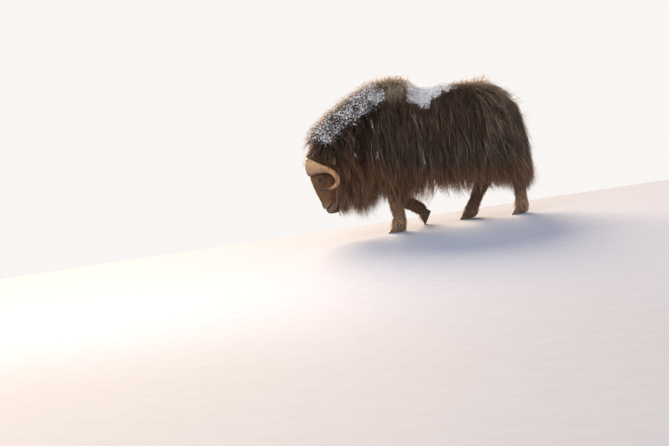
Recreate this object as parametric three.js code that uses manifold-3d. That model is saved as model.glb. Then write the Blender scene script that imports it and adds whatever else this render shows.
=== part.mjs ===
// A bull muskox, life size, as a still model: head lowered for a push, facing -X, on level ground.
// Lengths are in millimetres and +Z is up, so the animal's left side faces -Y.
// The long coat is a core that reaches half way to the tips, with tiers of flat tapered locks fused to it.
import * as THREE from "three";
import { mergeVertices } from "three/addons/utils/BufferGeometryUtils.js";
import Module from "manifold-3d";

const wasm = await Module();
wasm.setup();

// Driving dimensions
const gap = 0.3; // between solids that touch
const humpTop = 1352; // ground to the tips of the hump's wool
const backTop = 1210; // ground to the coat of the saddle
const halfGirth = 368; // middle to the outside of the coat at the belly
const skirtFoot = 250; // ground to the skirt's tips at the belly
const trunkFront = -940;
const trunkBack = 980;
const coreShare = 1; // half coats between the coat's outline and the core: 0 is the outline itself
const trunkSides = 22;
const trunkRings = 20;
const roundPower = 2; // an ellipse
const bellPower = 4; // the flanks fall almost straight below their widest place

// The coat's locks
const lockWide = 150;
const lockThick = 24;
const lockSteps = 4;
const lockSink = 26; // how far a root starts inside the core
const lockRoll = 0.14; // each lock is turned a little about its length, so that it overlaps the next
const lockCurl = 0.5; // how much a lock may bend to the front or the back along its length
const coatHalf = 0.5; // share of the coat's depth outside the core
const crestRise = 1.3; // the wool along the back stands up more
const freeBelow = -0.15; // a lock hangs free where the core's normal points further down than this

// The trunk's outline, with the hair: x, top, foot, half width, height of the widest place,
// coat depth all round, and how far the hair hangs below the flesh.
const trunkStations = [
  [trunkFront, 870, 800, 70, 835, 70, 40],
  [-860, 1026, 600, 178, 830, 80, 110],
  [-700, 1134, 240, 256, 790, 90, 240],
  [-520, 1234, 165, 294, 770, 95, 290],
  [-340, 1332, 250, 330, 780, 95, 240],
  [-180, humpTop, 262, 350, 780, 90, 230],
  [-60, 1332, 235, 360, 750, 80, 250],
  [60, 1226, 285, 366, 720, 60, 240],
  [280, backTop, skirtFoot, halfGirth, 700, 55, 250],
  [540, 1214, 225, 358, 700, 60, 260],
  [720, 1186, 185, 330, 710, 75, 270],
  [860, 1075, 190, 286, 700, 85, 270],
  [950, 885, 205, 214, 630, 90, 250],
  [trunkBack, 640, 290, 110, 500, 80, 200],
];

// The head hangs nose down, so its sections are level: z, front, back, half width.
const headStations = [
  [846, -890, -700, 70],
  [800, -925, -665, 112],
  [740, -950, -640, 136],
  [660, -962, -622, 146],
  [590, -968, -615, 144],
  [520, -958, -625, 128],
  [450, -932, -650, 106],
  [385, -906, -682, 90],
  [325, -888, -708, 82],
  [278, -868, -728, 74],
  [246, -842, -742, 58],
];
const chin = { x: -800, z: 230 };
const headSides = 18;
const headPower = 2.4;
const mouth = { front: [-920, 246], middle: [-831, 288], corner: [-782, 338], slit: 4, depth: 9 };
const upperLip = { place: [-868, 44, 300], size: [26, 36, 34] };
const lowerLip = { place: [-834, 0, 256], size: [26, 38, 16] };
const nostril = { place: [-884, 34, 312], size: [13, 10, 17], splay: 0.5 };
const eye = { place: [-872, 131, 548], radius: 20 };
const brow = { shift: [6, -22, 2], size: [42, 36, 46] };
const lids = { radius: 18.4, thick: 7, tall: 0.72, turn: 0.35, shift: [-3, 12, 0] };

// A horn's middle line and half sizes: x, y out from the middle, z, half height, half thickness.
const hornStations = [
  [-958, 5, 668, 82, 24],
  [-955, 70, 668, 80, 30],
  [-918, 134, 662, 62, 30],
  [-850, 176, 644, 38, 28],
  [-783, 200, 622, 26, 25],
  [-736, 218, 580, 23, 23],
  [-719, 235, 538, 21, 21],
  [-728, 254, 499, 18, 18],
  [-766, 272, 473, 14.5, 14.5],
  [-824, 287, 461, 10, 10],
  [-892, 300, 468, 3, 3],
];
const hornSides = 10;
const hornRings = 17;

// An ear's middle line: x, y, z, half width, half thickness.
const earStations = [
  [-770, 120, 728, 22, 14],
  [-752, 165, 722, 32, 17],
  [-738, 215, 708, 33, 15],
  [-728, 262, 688, 20, 10],
  [-722, 290, 674, 5, 4],
];
const earUp = [0.4, 0, 0.9]; // the way its broad side faces up
const earCup = { first: 1, wide: 0.62, thick: 0.9, shift: [-14, 4, -2] };

// Legs: x, y out from the middle, z, half depth fore and aft, half width.
const legStations = {
  front_left: [
    [-218, 168, 500, 92, 62],
    [-228, 180, 400, 86, 62],
    [-238, 190, 300, 80, 62],
    [-236, 190, 215, 70, 58],
    [-233, 190, 135, 63, 54],
    [-240, 190, 90, 68, 58],
    [-262, 190, 55, 68, 58],
  ],
  front_right: [
    [-205, 168, 500, 92, 62],
    [-198, 180, 400, 86, 60],
    [-184, 190, 310, 82, 60],
    [-140, 192, 235, 76, 56],
    [-84, 195, 186, 66, 54],
    [-30, 198, 150, 62, 54],
    [-8, 200, 112, 48, 50],
  ],
  hind_left: [
    [800, 112, 500, 76, 58],
    [830, 130, 420, 76, 58],
    [852, 148, 325, 70, 56],
    [850, 156, 220, 64, 52],
    [845, 158, 130, 62, 52],
    [844, 158, 88, 64, 54],
    [826, 158, 55, 62, 52],
  ],
  hind_right: [
    [600, 132, 500, 90, 62],
    [578, 142, 400, 84, 60],
    [548, 152, 305, 76, 58],
    [504, 156, 228, 66, 54],
    [458, 158, 150, 62, 52],
    [422, 158, 96, 64, 54],
    [394, 158, 56, 62, 52],
  ],
};
const legSides = 10;
const legRings = 9;
const foreClaw = { length: 138, width: 52, height: 66, lean: 34 };
const hindClaw = { length: 122, width: 46, height: 62, lean: 30 };
const clawLevels = [0, 0.3, 0.7, 1];
const clawSides = 12;
const clawPower = 2.3;
const clawShrink = { length: 0.36, width: 0.14, innerSide: 0.72 };
const clawMiddle = 0.36; // claw widths from the cleft to the middle of a claw
const clawSplit = 5; // half the cleft between a foot's two claws
const toeFlat = 6; // how much of a lifted foot's toe tips is worn flat on the ground
// Where each foot's toes end, the lift of its heel in degrees, and its heading out from -X in degrees.
const feet = {
  front_left: { x: -352, y: 190, size: foreClaw, pitch: 0, heading: 4 },
  front_right: { x: -10, y: 200, size: foreClaw, pitch: 60, heading: 0 },
  hind_left: { x: 738, y: 158, size: hindClaw, pitch: 0, heading: 4 },
  hind_right: { x: 294, y: 158, size: hindClaw, pitch: 0, heading: 4 },
};
const dewclaw = { size: [13, 11.7, 19.5], tilt: 0.4, spread: 24 };
const dewclawReach = { standing: [0.95, -0.1], lifted: [0.85, 0.45] }; // in half depths of the fetlock

const tailStations = [
  [836, 0, 1005, 30, 34],
  [880, 0, 968, 36, 40],
  [912, 0, 900, 36, 40],
  [928, 0, 835, 30, 32],
  [934, 0, 775, 14, 16],
];
const tailSides = 8;
const tailLocks = { count: 3, length: 170, wide: 46, lift: 18, sink: 12 };

// Where the body is parted, seen from the side: x and z along each cut, from the top down.
const headCut = [
  [-1300, 925],
  [-860, 925],
  [-745, 800],
  [-655, 570],
  [-655, 330],
  [-690, 60],
];
const neckCut = [
  [-175, 1500],
  [-470, 850],
  [-470, 60],
];
const shoulderCut = [
  [70, 1500],
  [70, 60],
];
const barrelCut = [
  [480, 1500],
  [480, 60],
];
const farAway = 1600;

const colours = {
  coat: [0x2f231c, 0.95],
  mane: [0x3a2b22, 0.95],
  saddle: [0x6b5a49, 0.95],
  face: [0x4a382c, 0.9],
  leg: [0x6e5c4c, 0.9],
  horn: [0xa8937a, 0.55],
  claw: [0x2a2522, 0.45],
  eye: [0x120c08, 0.08],
};

// Numbers and sections

function seeded(seed) {
  let state = seed;
  return () => {
    state = (Math.imul(state, 1664525) + 1013904223) >>> 0;
    return state / 4294967296;
  };
}

const mix = (a, b, t) => a + (b - a) * t;
const power = (v, n) => Math.sign(v) * Math.abs(v) ** (2 / n);

// A row between the rows of a table, on a smooth curve through all of them; t runs from 0 to 1.
function rowAt(rows, t) {
  const place = THREE.MathUtils.clamp(t, 0, 1) * (rows.length - 1);
  const i = Math.min(Math.floor(place), rows.length - 2);
  const f = place - i;
  const at = (k) => rows[THREE.MathUtils.clamp(k, 0, rows.length - 1)];
  return rows[i].map((_, c) => {
    const [a, b, d, e] = [at(i - 1)[c], at(i)[c], at(i + 1)[c], at(i + 2)[c]];
    const out = (d - a) / 2;
    const into = (e - b) / 2;
    return (
      b +
      f * out +
      f * f * (3 * (d - b) - 2 * out - into) +
      f * f * f * (2 * (b - d) + out + into)
    );
  });
}

// The trunk's section at table place t, drawn in by so many half coats.
function trunkSection(t, halves) {
  const [x, top, foot, half, wide, coat, skirt] = rowAt(trunkStations, t);
  const inset = (halves * coat) / 2;
  return {
    x: x - (inset * x) / trunkBack,
    top: top - inset,
    foot: foot + (halves * skirt) / 2,
    half: half - inset,
    wide,
  };
}

function trunkPoint(section, angle) {
  const [c, s] = [Math.cos(angle), Math.sin(angle)];
  const n = s > 0 ? roundPower : bellPower;
  const height = s > 0 ? section.top - section.wide : section.wide - section.foot;
  return new THREE.Vector3(section.x, section.half * power(c, n), section.wide + height * power(s, n));
}

// The table place whose section of the core lies at x.
function trunkPlace(x) {
  let [low, high] = [0, 1];
  for (let i = 0; i < 24; i++) {
    const middle = (low + high) / 2;
    if (trunkSection(middle, coreShare).x < x) low = middle;
    else high = middle;
  }
  return (low + high) / 2;
}

// Solids

// A closed solid over rings of as many points each, with a fan at both ends, the last one round a tip.
function loft(rings, tip = null) {
  const sides = rings[0].length;
  const middle = (ring) =>
    ring.reduce((sum, p) => sum.add(p), new THREE.Vector3()).divideScalar(sides);
  const points = [...rings.flat(), middle(rings[0]), tip ?? middle(rings.at(-1))];
  const [first, last] = [points.length - 2, points.length - 1];
  const faces = [];
  for (let r = 0; r < rings.length; r++)
    for (let i = 0; i < sides; i++) {
      const [a, b] = [r * sides + i, r * sides + ((i + 1) % sides)];
      if (r === 0) faces.push(first, b, a);
      if (r === rings.length - 1) faces.push(last, a, b);
      else faces.push(a, b, b + sides, a, b + sides, a + sides);
    }
  return solid(meshOf(points, faces));
}

function meshOf(points, faces) {
  const geometry = new THREE.BufferGeometry().setFromPoints(points);
  geometry.setIndex(faces);
  return geometry;
}

// A three.js geometry as a solid, turned face out.
function solid(geometry) {
  const bare = geometry.clone();
  bare.deleteAttribute("normal");
  bare.deleteAttribute("uv");
  const merged = mergeVertices(bare, 1e-3);
  const at = merged.attributes.position;
  const triVerts = new Uint32Array(merged.index.array);
  const [a, b, c] = [new THREE.Vector3(), new THREE.Vector3(), new THREE.Vector3()];
  let volume = 0;
  for (let i = 0; i < triVerts.length; i += 3) {
    a.fromBufferAttribute(at, triVerts[i]);
    b.fromBufferAttribute(at, triVerts[i + 1]);
    c.fromBufferAttribute(at, triVerts[i + 2]);
    volume += a.dot(b.cross(c));
  }
  if (volume < 0)
    for (let i = 0; i < triVerts.length; i += 3)
      [triVerts[i + 1], triVerts[i + 2]] = [triVerts[i + 2], triVerts[i + 1]];
  return new wasm.Manifold(new wasm.Mesh({ numProp: 3, vertProperties: at.array, triVerts }));
}

const joined = (solids) => wasm.Manifold.union(solids);

// A solid's mesh as a three.js geometry.
function geometryOf(made) {
  const { vertProperties, triVerts, numProp } = made.getMesh();
  const points = new Float32Array((vertProperties.length / numProp) * 3);
  for (let i = 0; i < points.length / 3; i++)
    points.set(vertProperties.subarray(i * numProp, i * numProp + 3), i * 3);
  const geometry = new THREE.BufferGeometry();
  geometry.setAttribute("position", new THREE.BufferAttribute(points, 3));
  geometry.setIndex(new THREE.BufferAttribute(new Uint32Array(triVerts), 1));
  geometry.computeVertexNormals();
  return geometry;
}

// Finds the nearest place of a solid to p, its smooth normal there, and how far p lies outside it.
function nearestOn(made) {
  const geometry = geometryOf(made);
  const { position, normal } = geometry.attributes;
  const index = geometry.index.array;
  const faces = [];
  for (let i = 0; i < index.length; i += 3) {
    const corners = [0, 1, 2].map((k) => new THREE.Vector3().fromBufferAttribute(position, index[i + k]));
    const normals = [0, 1, 2].map((k) => new THREE.Vector3().fromBufferAttribute(normal, index[i + k]));
    faces.push({ triangle: new THREE.Triangle(...corners), normals });
  }
  const point = new THREE.Vector3();
  return (p) => {
    const best = { away: Infinity };
    for (const face of faces) {
      const away = face.triangle.closestPointToPoint(p, point).distanceToSquared(p);
      if (away < best.away) Object.assign(best, { away, face, at: point.clone() });
    }
    const share = best.face.triangle.getBarycoord(best.at, new THREE.Vector3());
    const smooth = new THREE.Vector3();
    best.face.normals.forEach((n, k) => smooth.addScaledVector(n, share.getComponent(k)));
    smooth.normalize();
    const outside = p.clone().sub(best.at).dot(smooth) > 0;
    return { normal: smooth, clear: Math.sqrt(best.away) * (outside ? 1 : -1) };
  };
}

// The largest closed surface of a cut solid.
function largest(made) {
  return made.decompose().reduce((best, s) => (s.volume() > best.volume() ? s : best));
}

// A place on the left or right side, from one given for the right.
const onSide = ([x, y, z], side) => [x, y * side, z];
const plus = (a, b) => a.map((v, i) => v + b[i]);

function ball(place, size, { turn = [0, 0, 0], sides: around = 10 } = {}) {
  const geometry = new THREE.SphereGeometry(1, around, Math.round(around * 0.7)).scale(...size);
  return solid(geometry.rotateX(turn[0]).rotateY(turn[1]).rotateZ(turn[2]).translate(...place));
}

// Rings round a curve through the rows' first three columns; the last two are half sizes, the first of
// them along "up", which is carried along the curve without twisting. side turns y to the left or right.
function tube(rows, { side = 1, up, rings, sides, out = 0 }) {
  const curve = new THREE.CatmullRomCurve3(
    rows.map(([x, y, z]) => new THREE.Vector3(x, y * side, z)),
  );
  const made = [];
  const stand = up.clone();
  for (let r = 0; r < rings; r++) {
    const t = r / (rings - 1);
    const along = curve.getTangent(t);
    const end = t === 0 ? -out : t === 1 ? out : 0;
    const centre = curve.getPoint(t).addScaledVector(along, end);
    stand.addScaledVector(along, -stand.dot(along)).normalize();
    const across = new THREE.Vector3().crossVectors(along, stand);
    const row = rowAt(rows, t);
    const [tall, thick] = [row[3] + out, row[4] + out];
    made.push(
      Array.from({ length: sides }, (_, i) => {
        const angle = (i / sides) * 2 * Math.PI;
        return centre
          .clone()
          .addScaledVector(stand, tall * Math.cos(angle))
          .addScaledVector(across, thick * Math.sin(angle));
      }),
    );
  }
  return loft(made);
}

function trunk() {
  const rings = Array.from({ length: trunkRings }, (_, r) => {
    const section = trunkSection(r / (trunkRings - 1), coreShare);
    return Array.from({ length: trunkSides }, (_, i) =>
      trunkPoint(section, (i / trunkSides) * 2 * Math.PI),
    );
  });
  return loft(rings);
}

// The head, let out or drawn in by out.
function headShell(out = 0) {
  const rings = headStations.map(([z, front, back, half]) => {
    const depth = (back - front) / 2 + out;
    return Array.from({ length: headSides }, (_, i) => {
      const angle = (i / headSides) * 2 * Math.PI;
      return new THREE.Vector3(
        (front + back) / 2 + depth * power(Math.cos(angle), headPower),
        (half + out) * power(Math.sin(angle), headPower),
        z,
      );
    });
  });
  const end = rings.at(-1).map((p) =>
    new THREE.Vector3(mix(p.x, chin.x, 0.55), p.y * 0.45, chin.z - out),
  );
  return loft([...rings, end]);
}

// Everything in front of one cut and behind another, seen from the side, half a gap clear of both.
function slice(behind, inFrontOf) {
  const near = (cut, way) =>
    cut.map(([x, z]) => [x + (way * gap) / 2, z + (cut === headCut ? (way * gap) / 2 : 0)]);
  const outline = [
    ...(behind ? near(behind, 1) : [[-farAway, farAway], [-farAway, 0]]),
    ...(inFrontOf ? near(inFrontOf, -1).reverse() : [[farAway, 0], [farAway, farAway]]),
  ];
  const shape = new THREE.Shape(outline.map(([x, z]) => new THREE.Vector2(x, z)));
  const plate = new THREE.ExtrudeGeometry(shape, { depth: farAway, bevelEnabled: false });
  return solid(plate.rotateX(Math.PI / 2).translate(0, farAway / 2, 0));
}

// Whether p lies in front of a cut, whose points run from the top down.
function isBefore(cut, p) {
  const found = cut.findIndex(([, z], k) => k > 0 && p.z >= z);
  const i = found < 0 ? cut.length - 1 : found;
  const [[x0, z0], [x1, z1]] = [cut[i - 1], cut[i]];
  return p.x < (z0 === z1 ? x0 : mix(x0, x1, (z0 - p.z) / (z0 - z1)));
}

// Locks

// A flat tapered blade along a path, root first: its back is flat and its face has a low ridge.
// Let out, it is the room that the blade needs.
function blade(path, normals, { wide, thick, roll, out = 0 }) {
  const rings = path.slice(0, -1).map((at, i) => {
    const t = i / (path.length - 1);
    const along = path[i + 1].clone().sub(path[Math.max(i - 1, 0)]).normalize();
    const across = new THREE.Vector3().crossVectors(along, normals[i]).normalize();
    across.applyAxisAngle(along, roll);
    const ahead = new THREE.Vector3().crossVectors(across, along);
    const p = at.clone().addScaledVector(along, i === 0 ? -4 * out : 0);
    const swell = mix(0.7, 1, Math.sin(Math.PI * Math.min(t * 1.5, 1)));
    const half = (wide / 2) * swell * (1 - t ** 3) + 4 * out;
    const tall = thick * (1 - 0.6 * t * t);
    const [face, back] = [tall * 0.6 + 2 * out, tall * 0.4 + 2 * out];
    return [
      p.clone().addScaledVector(across, half).addScaledVector(ahead, -back),
      p.clone().addScaledVector(ahead, face),
      p.clone().addScaledVector(across, -half).addScaledVector(ahead, -back),
    ];
  });
  const end = path.at(-1).clone().sub(path.at(-2)).normalize();
  return loft(rings, path.at(-1).clone().addScaledVector(end, 4 * out));
}

// One lock of the coat. It starts sunk in the core, lies along it down the coat's lie and ends at a height
// above it, and it hangs free where the core turns under it.
function lock(core, { root, length, wide, lift, lie, curl, roll, sink = lockSink }, out = 0) {
  const path = [];
  const normals = [];
  const p = root.clone();
  let near = core(p);
  p.addScaledVector(near.normal, -sink - near.clear);
  for (let i = 0; i <= lockSteps; i++) {
    path.push(p.clone());
    normals.push(near.normal.clone());
    const along = new THREE.Vector3(lie[0] + curl * (i / lockSteps - 0.4), lie[1], lie[2]);
    const outward = along.dot(near.normal);
    const free = near.normal.z < freeBelow;
    if (!free || outward < 0) along.addScaledVector(near.normal, -outward);
    p.addScaledVector(along.normalize(), length / lockSteps);
    near = core(p);
    const want = mix(-sink, lift, Math.min(((i + 1) / lockSteps) * 1.3, 1));
    if (want > near.clear || !free) p.addScaledVector(near.normal, want - near.clear);
  }
  return blade(path, normals, { wide, thick: lockThick, roll, out });
}

// Rows of locks along the trunk. angle is the height of their roots round the section in degrees, 0 at the
// widest place and 90 along the back.
const coatRows = [
  { angle: 90, from: -880, to: 890, count: 13, length: 250 },
  { angle: 60, from: -850, to: 880, count: 13, length: 310 },
  { angle: 30, from: -850, to: 910, count: 13, length: 340 },
  { angle: 0, from: -760, to: 915, count: 13, length: 350 },
  { angle: -32, from: -700, to: 905, count: 13, length: 330 },
  { angle: -64, from: -690, to: -360, count: 3, length: 210 },
];

// How far the coat's lie leans back at x.
const leans = [
  [-860, 0.5],
  [-600, 0.3],
  [-420, 0.02],
  [0, 0.02],
  [480, 0.05],
  [780, 0.25],
  [930, 0.06],
];

// Locks with a place of their own, on both sides: root, direction, length, width and height of the tip.
const tufts = [
  { root: [-915, 22, 905], lie: [-0.7, 0.1, -0.7], length: 170, wide: 80, lift: 24 },
  { root: [-890, 82, 890], lie: [-0.6, 0.2, -0.8], length: 170, wide: 90, lift: 24 },
  { root: [-850, 135, 860], lie: [-0.2, 0.3, -1], length: 150, wide: 90, lift: 24 },
  { root: [-800, 128, 640], lie: [0.25, 0, -1], length: 190, wide: 80, lift: 20 },
  { root: [-730, 124, 620], lie: [0.2, 0, -1], length: 200, wide: 95, lift: 26 },
  { root: [-800, 110, 500], lie: [0.25, 0, -1], length: 170, wide: 80, lift: 18 },
  { root: [-725, 108, 480], lie: [0.15, 0, -1], length: 190, wide: 90, lift: 24 },
  { root: [-752, 70, 380], lie: [0.2, 0, -1], length: 140, wide: 75, lift: 16 },
  { root: [-705, 52, 350], lie: [0.15, 0, -1], length: 130, wide: 80, lift: 18 },
  { root: [-760, 26, 260], lie: [0.3, 0, -1], length: 62, wide: 60, lift: 14 },
  { root: [930, 110, 840], lie: [0.1, 0.1, -1], length: 300, wide: 130, lift: 42 },
  { root: [950, 48, 700], lie: [0.1, 0, -1], length: 300, wide: 130, lift: 42 },
  { root: [950, 130, 640], lie: [0.05, 0, -1], length: 300, wide: 130, lift: 42 },
  { root: [950, 60, 480], lie: [0, 0, -1], length: 260, wide: 130, lift: 40 },
  { root: [940, 150, 440], lie: [0, 0, -1], length: 230, wide: 120, lift: 40 },
];

// The row between the rows of a table whose first column is x.
function rowWhere(table, x) {
  const i = THREE.MathUtils.clamp(table.findIndex((row) => row[0] > x), 1, table.length - 1);
  const [a, b] = [table[i - 1], table[i]];
  const t = THREE.MathUtils.clamp((x - a[0]) / (b[0] - a[0]), 0, 1);
  return a.map((v, c) => mix(v, b[c], t));
}

// Every lock of the coat: a root near the core, and what lock needs.
function coatLocks() {
  const random = seeded(41);
  const vary = (share) => 1 + (random() - 0.5) * share;
  const made = [];
  for (const row of coatRows)
    for (const side of row.angle === 90 ? [1] : [-1, 1])
      for (let i = 0; i < row.count; i++) {
        const crest = row.angle === 90;
        const x = mix(row.from, row.to, i / (row.count - 1)) + (random() - 0.5) * 24;
        const place = trunkPlace(x);
        const up = THREE.MathUtils.degToRad(row.angle + (random() - 0.5) * 9);
        const lean = rowWhere(leans, x)[1] + (random() - 0.5) * 0.12;
        const root = trunkPoint(trunkSection(place, coreShare), side > 0 ? up : Math.PI - up);
        const room = root.z - trunkSection(place, 0).foot;
        made.push({
          root,
          length: Math.min(row.length, room) * vary(0.2),
          wide: lockWide * vary(0.16),
          lift: coatHalf * rowAt(trunkStations, place)[5] * (crest ? crestRise : 1) * vary(0.24),
          curl: (random() - 0.5) * lockCurl,
          lie: crest ? [1, (i % 2 ? 0.3 : -0.3) * vary(0.6), 0] : [lean, 0.25 * side, -1],
          roll: lockRoll * side * vary(0.6),
        });
      }
  for (const tuft of tufts)
    for (const side of [-1, 1])
      made.push({
        root: new THREE.Vector3(tuft.root[0], tuft.root[1] * side, tuft.root[2]),
        length: tuft.length * vary(0.16),
        wide: tuft.wide,
        lift: tuft.lift,
        curl: (random() - 0.5) * lockCurl,
        lie: [tuft.lie[0], tuft.lie[1] * side, tuft.lie[2]],
        roll: lockRoll * side * vary(0.6),
      });
  return made;
}

// Parts

function earShell(side, out = 0) {
  return tube(earStations, { side, up: new THREE.Vector3(...earUp), rings: 7, sides: 10, out });
}

function ear(side) {
  const cup = earStations
    .slice(earCup.first)
    .map(([x, y, z, wide, thick]) => [
      ...plus([x, y, z], earCup.shift),
      wide * earCup.wide,
      thick * earCup.thick,
    ]);
  const hollow = tube(cup, { side, up: new THREE.Vector3(...earUp), rings: 5, sides: 8 });
  return largest(earShell(side).subtract(hollow));
}

function horn(side, out = 0) {
  const up = new THREE.Vector3(0, 0, 1);
  return tube(hornStations, { side, up, rings: hornRings, sides: hornSides, out });
}

function eyeball(side, out = 0) {
  return ball(onSide(eye.place, side), Array(3).fill(eye.radius + out));
}

const sideOf = (name) => (name.endsWith("left") ? -1 : 1);

function leg(name, out = 0) {
  const up = new THREE.Vector3(-1, 0, 0);
  return tube(legStations[name], { side: sideOf(name), up, rings: legRings, sides: legSides, out });
}

// A claw is a stack of half round outlines that lean back from the toe, on a flat sole. place is -1 or 1
// for the two sides of the cleft.
function claw(name, place, out = 0) {
  const { x, y, size, pitch, heading } = feet[name];
  const half = size.length / 2;
  const middle = place * (clawSplit + size.width * clawMiddle);
  const rings = clawLevels.map((level) => {
    const long = half * (1 - clawShrink.length * level) + out;
    const wide = (size.width / 2) * (1 - clawShrink.width * level) + out;
    const end = level === 0 ? -out : level === 1 ? out : 0;
    return Array.from({ length: clawSides }, (_, i) => {
      const angle = (i / clawSides) * 2 * Math.PI;
      const bulge = Math.sin(angle) * place > 0 ? 1 : clawShrink.innerSide;
      return new THREE.Vector3(
        half + size.lean * level + long * power(Math.cos(angle), clawPower),
        middle + wide * bulge * power(Math.sin(angle), clawPower),
        size.height * level + end,
      );
    });
  });
  const points = rings.flat();
  for (const p of points) {
    p.applyAxisAngle(new THREE.Vector3(0, 1, 0), THREE.MathUtils.degToRad(-pitch));
    p.applyAxisAngle(new THREE.Vector3(0, 0, 1), THREE.MathUtils.degToRad(sideOf(name) * heading));
  }
  const drop = pitch ? Math.min(...points.map((p) => p.z)) + toeFlat : 0;
  for (const p of points) p.add(new THREE.Vector3(x, y * sideOf(name), -drop));
  const made = loft(rings);
  return pitch ? made.trimByPlane([0, 0, 1], -out) : made;
}

// Two small claws behind the fetlock, joined to the leg.
function dewclaws(name) {
  const [x, y, z, depth] = legStations[name].at(-2);
  const [back, up] = feet[name].pitch ? dewclawReach.lifted : dewclawReach.standing;
  return [-1, 1].map((place) =>
    ball(
      [x + depth * back, (y + place * dewclaw.spread) * sideOf(name), z + depth * up],
      dewclaw.size,
      { turn: [0, dewclaw.tilt, 0], sides: 7 },
    ),
  );
}

function tail(out = 0) {
  return tube(tailStations, { up: new THREE.Vector3(1, 0, 1), rings: 6, sides: tailSides, out });
}

// The tail with its hair: a few locks from its root down over its end, on both sides and behind.
function hairedTail(out = 0) {
  const onTail = nearestOn(tail());
  const made = [tail(out)];
  for (let i = 0; i < tailLocks.count; i++)
    for (const side of [-1, 1]) {
      const [x, , z, depth] = rowAt(tailStations, 0.2 + (0.4 * i) / tailLocks.count);
      const root = new THREE.Vector3(x + depth * 0.7, side * (8 + 12 * i), z + depth * 0.5);
      const lie = [0.3, side * 0.12 * i, -1];
      const way = { root, lie, curl: 0.1 * side, roll: lockRoll * side };
      made.push(lock(onTail, { ...tailLocks, ...way }, out));
    }
  return largest(joined(made));
}

// A slit round the muzzle from the front of the mouth to its corners.
function mouthSlit() {
  const { front, middle, corner, slit, depth } = mouth;
  const shape = new THREE.Shape([
    new THREE.Vector2(front[0], front[1] - slit),
    new THREE.Vector2(front[0], front[1] + slit),
    new THREE.Vector2(middle[0], middle[1] + slit / 2),
    new THREE.Vector2(...corner),
    new THREE.Vector2(middle[0], middle[1] - slit / 2),
  ]);
  const wide = 2 * halfGirth;
  const plate = new THREE.ExtrudeGeometry(shape, { depth: wide, bevelEnabled: false });
  return solid(plate.rotateX(Math.PI / 2).translate(0, wide / 2, 0)).subtract(headShell(-depth));
}

function lidRing(side) {
  const ring = new THREE.TorusGeometry(lids.radius, lids.thick, 5, 10).scale(1, lids.tall, 1);
  ring.rotateX(Math.PI / 2).rotateZ(side * lids.turn);
  return solid(ring.translate(...onSide(plus(eye.place, lids.shift), side)));
}

function head() {
  const added = [headShell(), ball(lowerLip.place, lowerLip.size)];
  const cut = [mouthSlit()];
  for (const side of [-1, 1]) {
    added.push(ball(onSide(plus(eye.place, brow.shift), side), brow.size));
    added.push(lidRing(side));
    added.push(ball(onSide(upperLip.place, side), upperLip.size));
    cut.push(eyeball(side, gap));
    const turn = [-side * nostril.splay, 0, 0];
    cut.push(ball(onSide(nostril.place, side), nostril.size, { turn, sides: 8 }));
  }
  return joined(added).subtract(joined(cut));
}

const body = joined([trunk(), head()]);
const bodyNodes = [
  { name: "head", behind: null, before: headCut, colour: colours.face },
  { name: "neck", behind: headCut, before: neckCut, colour: colours.mane },
  { name: "shoulders", behind: neckCut, before: shoulderCut, colour: colours.coat },
  { name: "barrel", behind: shoulderCut, before: barrelCut, colour: colours.saddle },
  { name: "rump", behind: barrelCut, before: null, colour: colours.coat },
];
const sides = { left: -1, right: 1 };
const footNames = Object.keys(feet);
const keptClear = joined([
  ...footNames.map((name) => leg(name, gap)),
  ...Object.values(sides).flatMap((side) => [horn(side, gap), eyeball(side, gap), earShell(side, gap)]),
  hairedTail(gap),
]);

const group = new THREE.Group();

function add(name, made, [colour, roughness]) {
  const material = new THREE.MeshStandardMaterial({ color: colour, roughness, metalness: 0 });
  const mesh = new THREE.Mesh(geometryOf(made), material);
  mesh.name = name;
  group.add(mesh);
}

const onBody = nearestOn(joined([trunk(), headShell()]));
const locks = coatLocks();
for (const { name, behind, before, colour } of bodyNodes) {
  const own = locks.filter(
    ({ root }) => !(behind && isBefore(behind, root)) && (!before || isBefore(before, root)),
  );
  const room = slice(behind, before);
  const haired = joined([body.intersect(room), ...own.map((one) => lock(onBody, one))]);
  add(name, largest(haired.intersect(room).subtract(keptClear)), colour);
}
for (const [word, side] of Object.entries(sides)) {
  add(`horn_${word}`, horn(side), colours.horn);
  add(`eye_${word}`, eyeball(side), colours.eye);
  add(`ear_${word}`, ear(side), colours.face);
}
add("tail", hairedTail(), colours.coat);
const claws = { inner: -1, outer: 1 };
for (const name of footNames) {
  const places = Object.values(claws).map((place) => place * sideOf(name));
  const room = joined(places.map((place) => claw(name, place, gap)));
  add(`leg_${name}`, largest(joined([leg(name), ...dewclaws(name)]).subtract(room)), colours.leg);
  for (const [word, place] of Object.entries(claws))
    add(`claw_${name}_${word}`, claw(name, place * sideOf(name)), colours.claw);
}

// The part's origin is under the middle of its bounding box, on the ground.
const box = new THREE.Box3().setFromObject(group);
group.position.set(-(box.min.x + box.max.x) / 2, -(box.min.y + box.max.y) / 2, 0);

export default group;
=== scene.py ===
import math
import bpy
import numpy as np
from mathutils import Matrix, Vector
from mathutils.bvhtree import BVHTree
from mathutils.kdtree import KDTree


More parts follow.
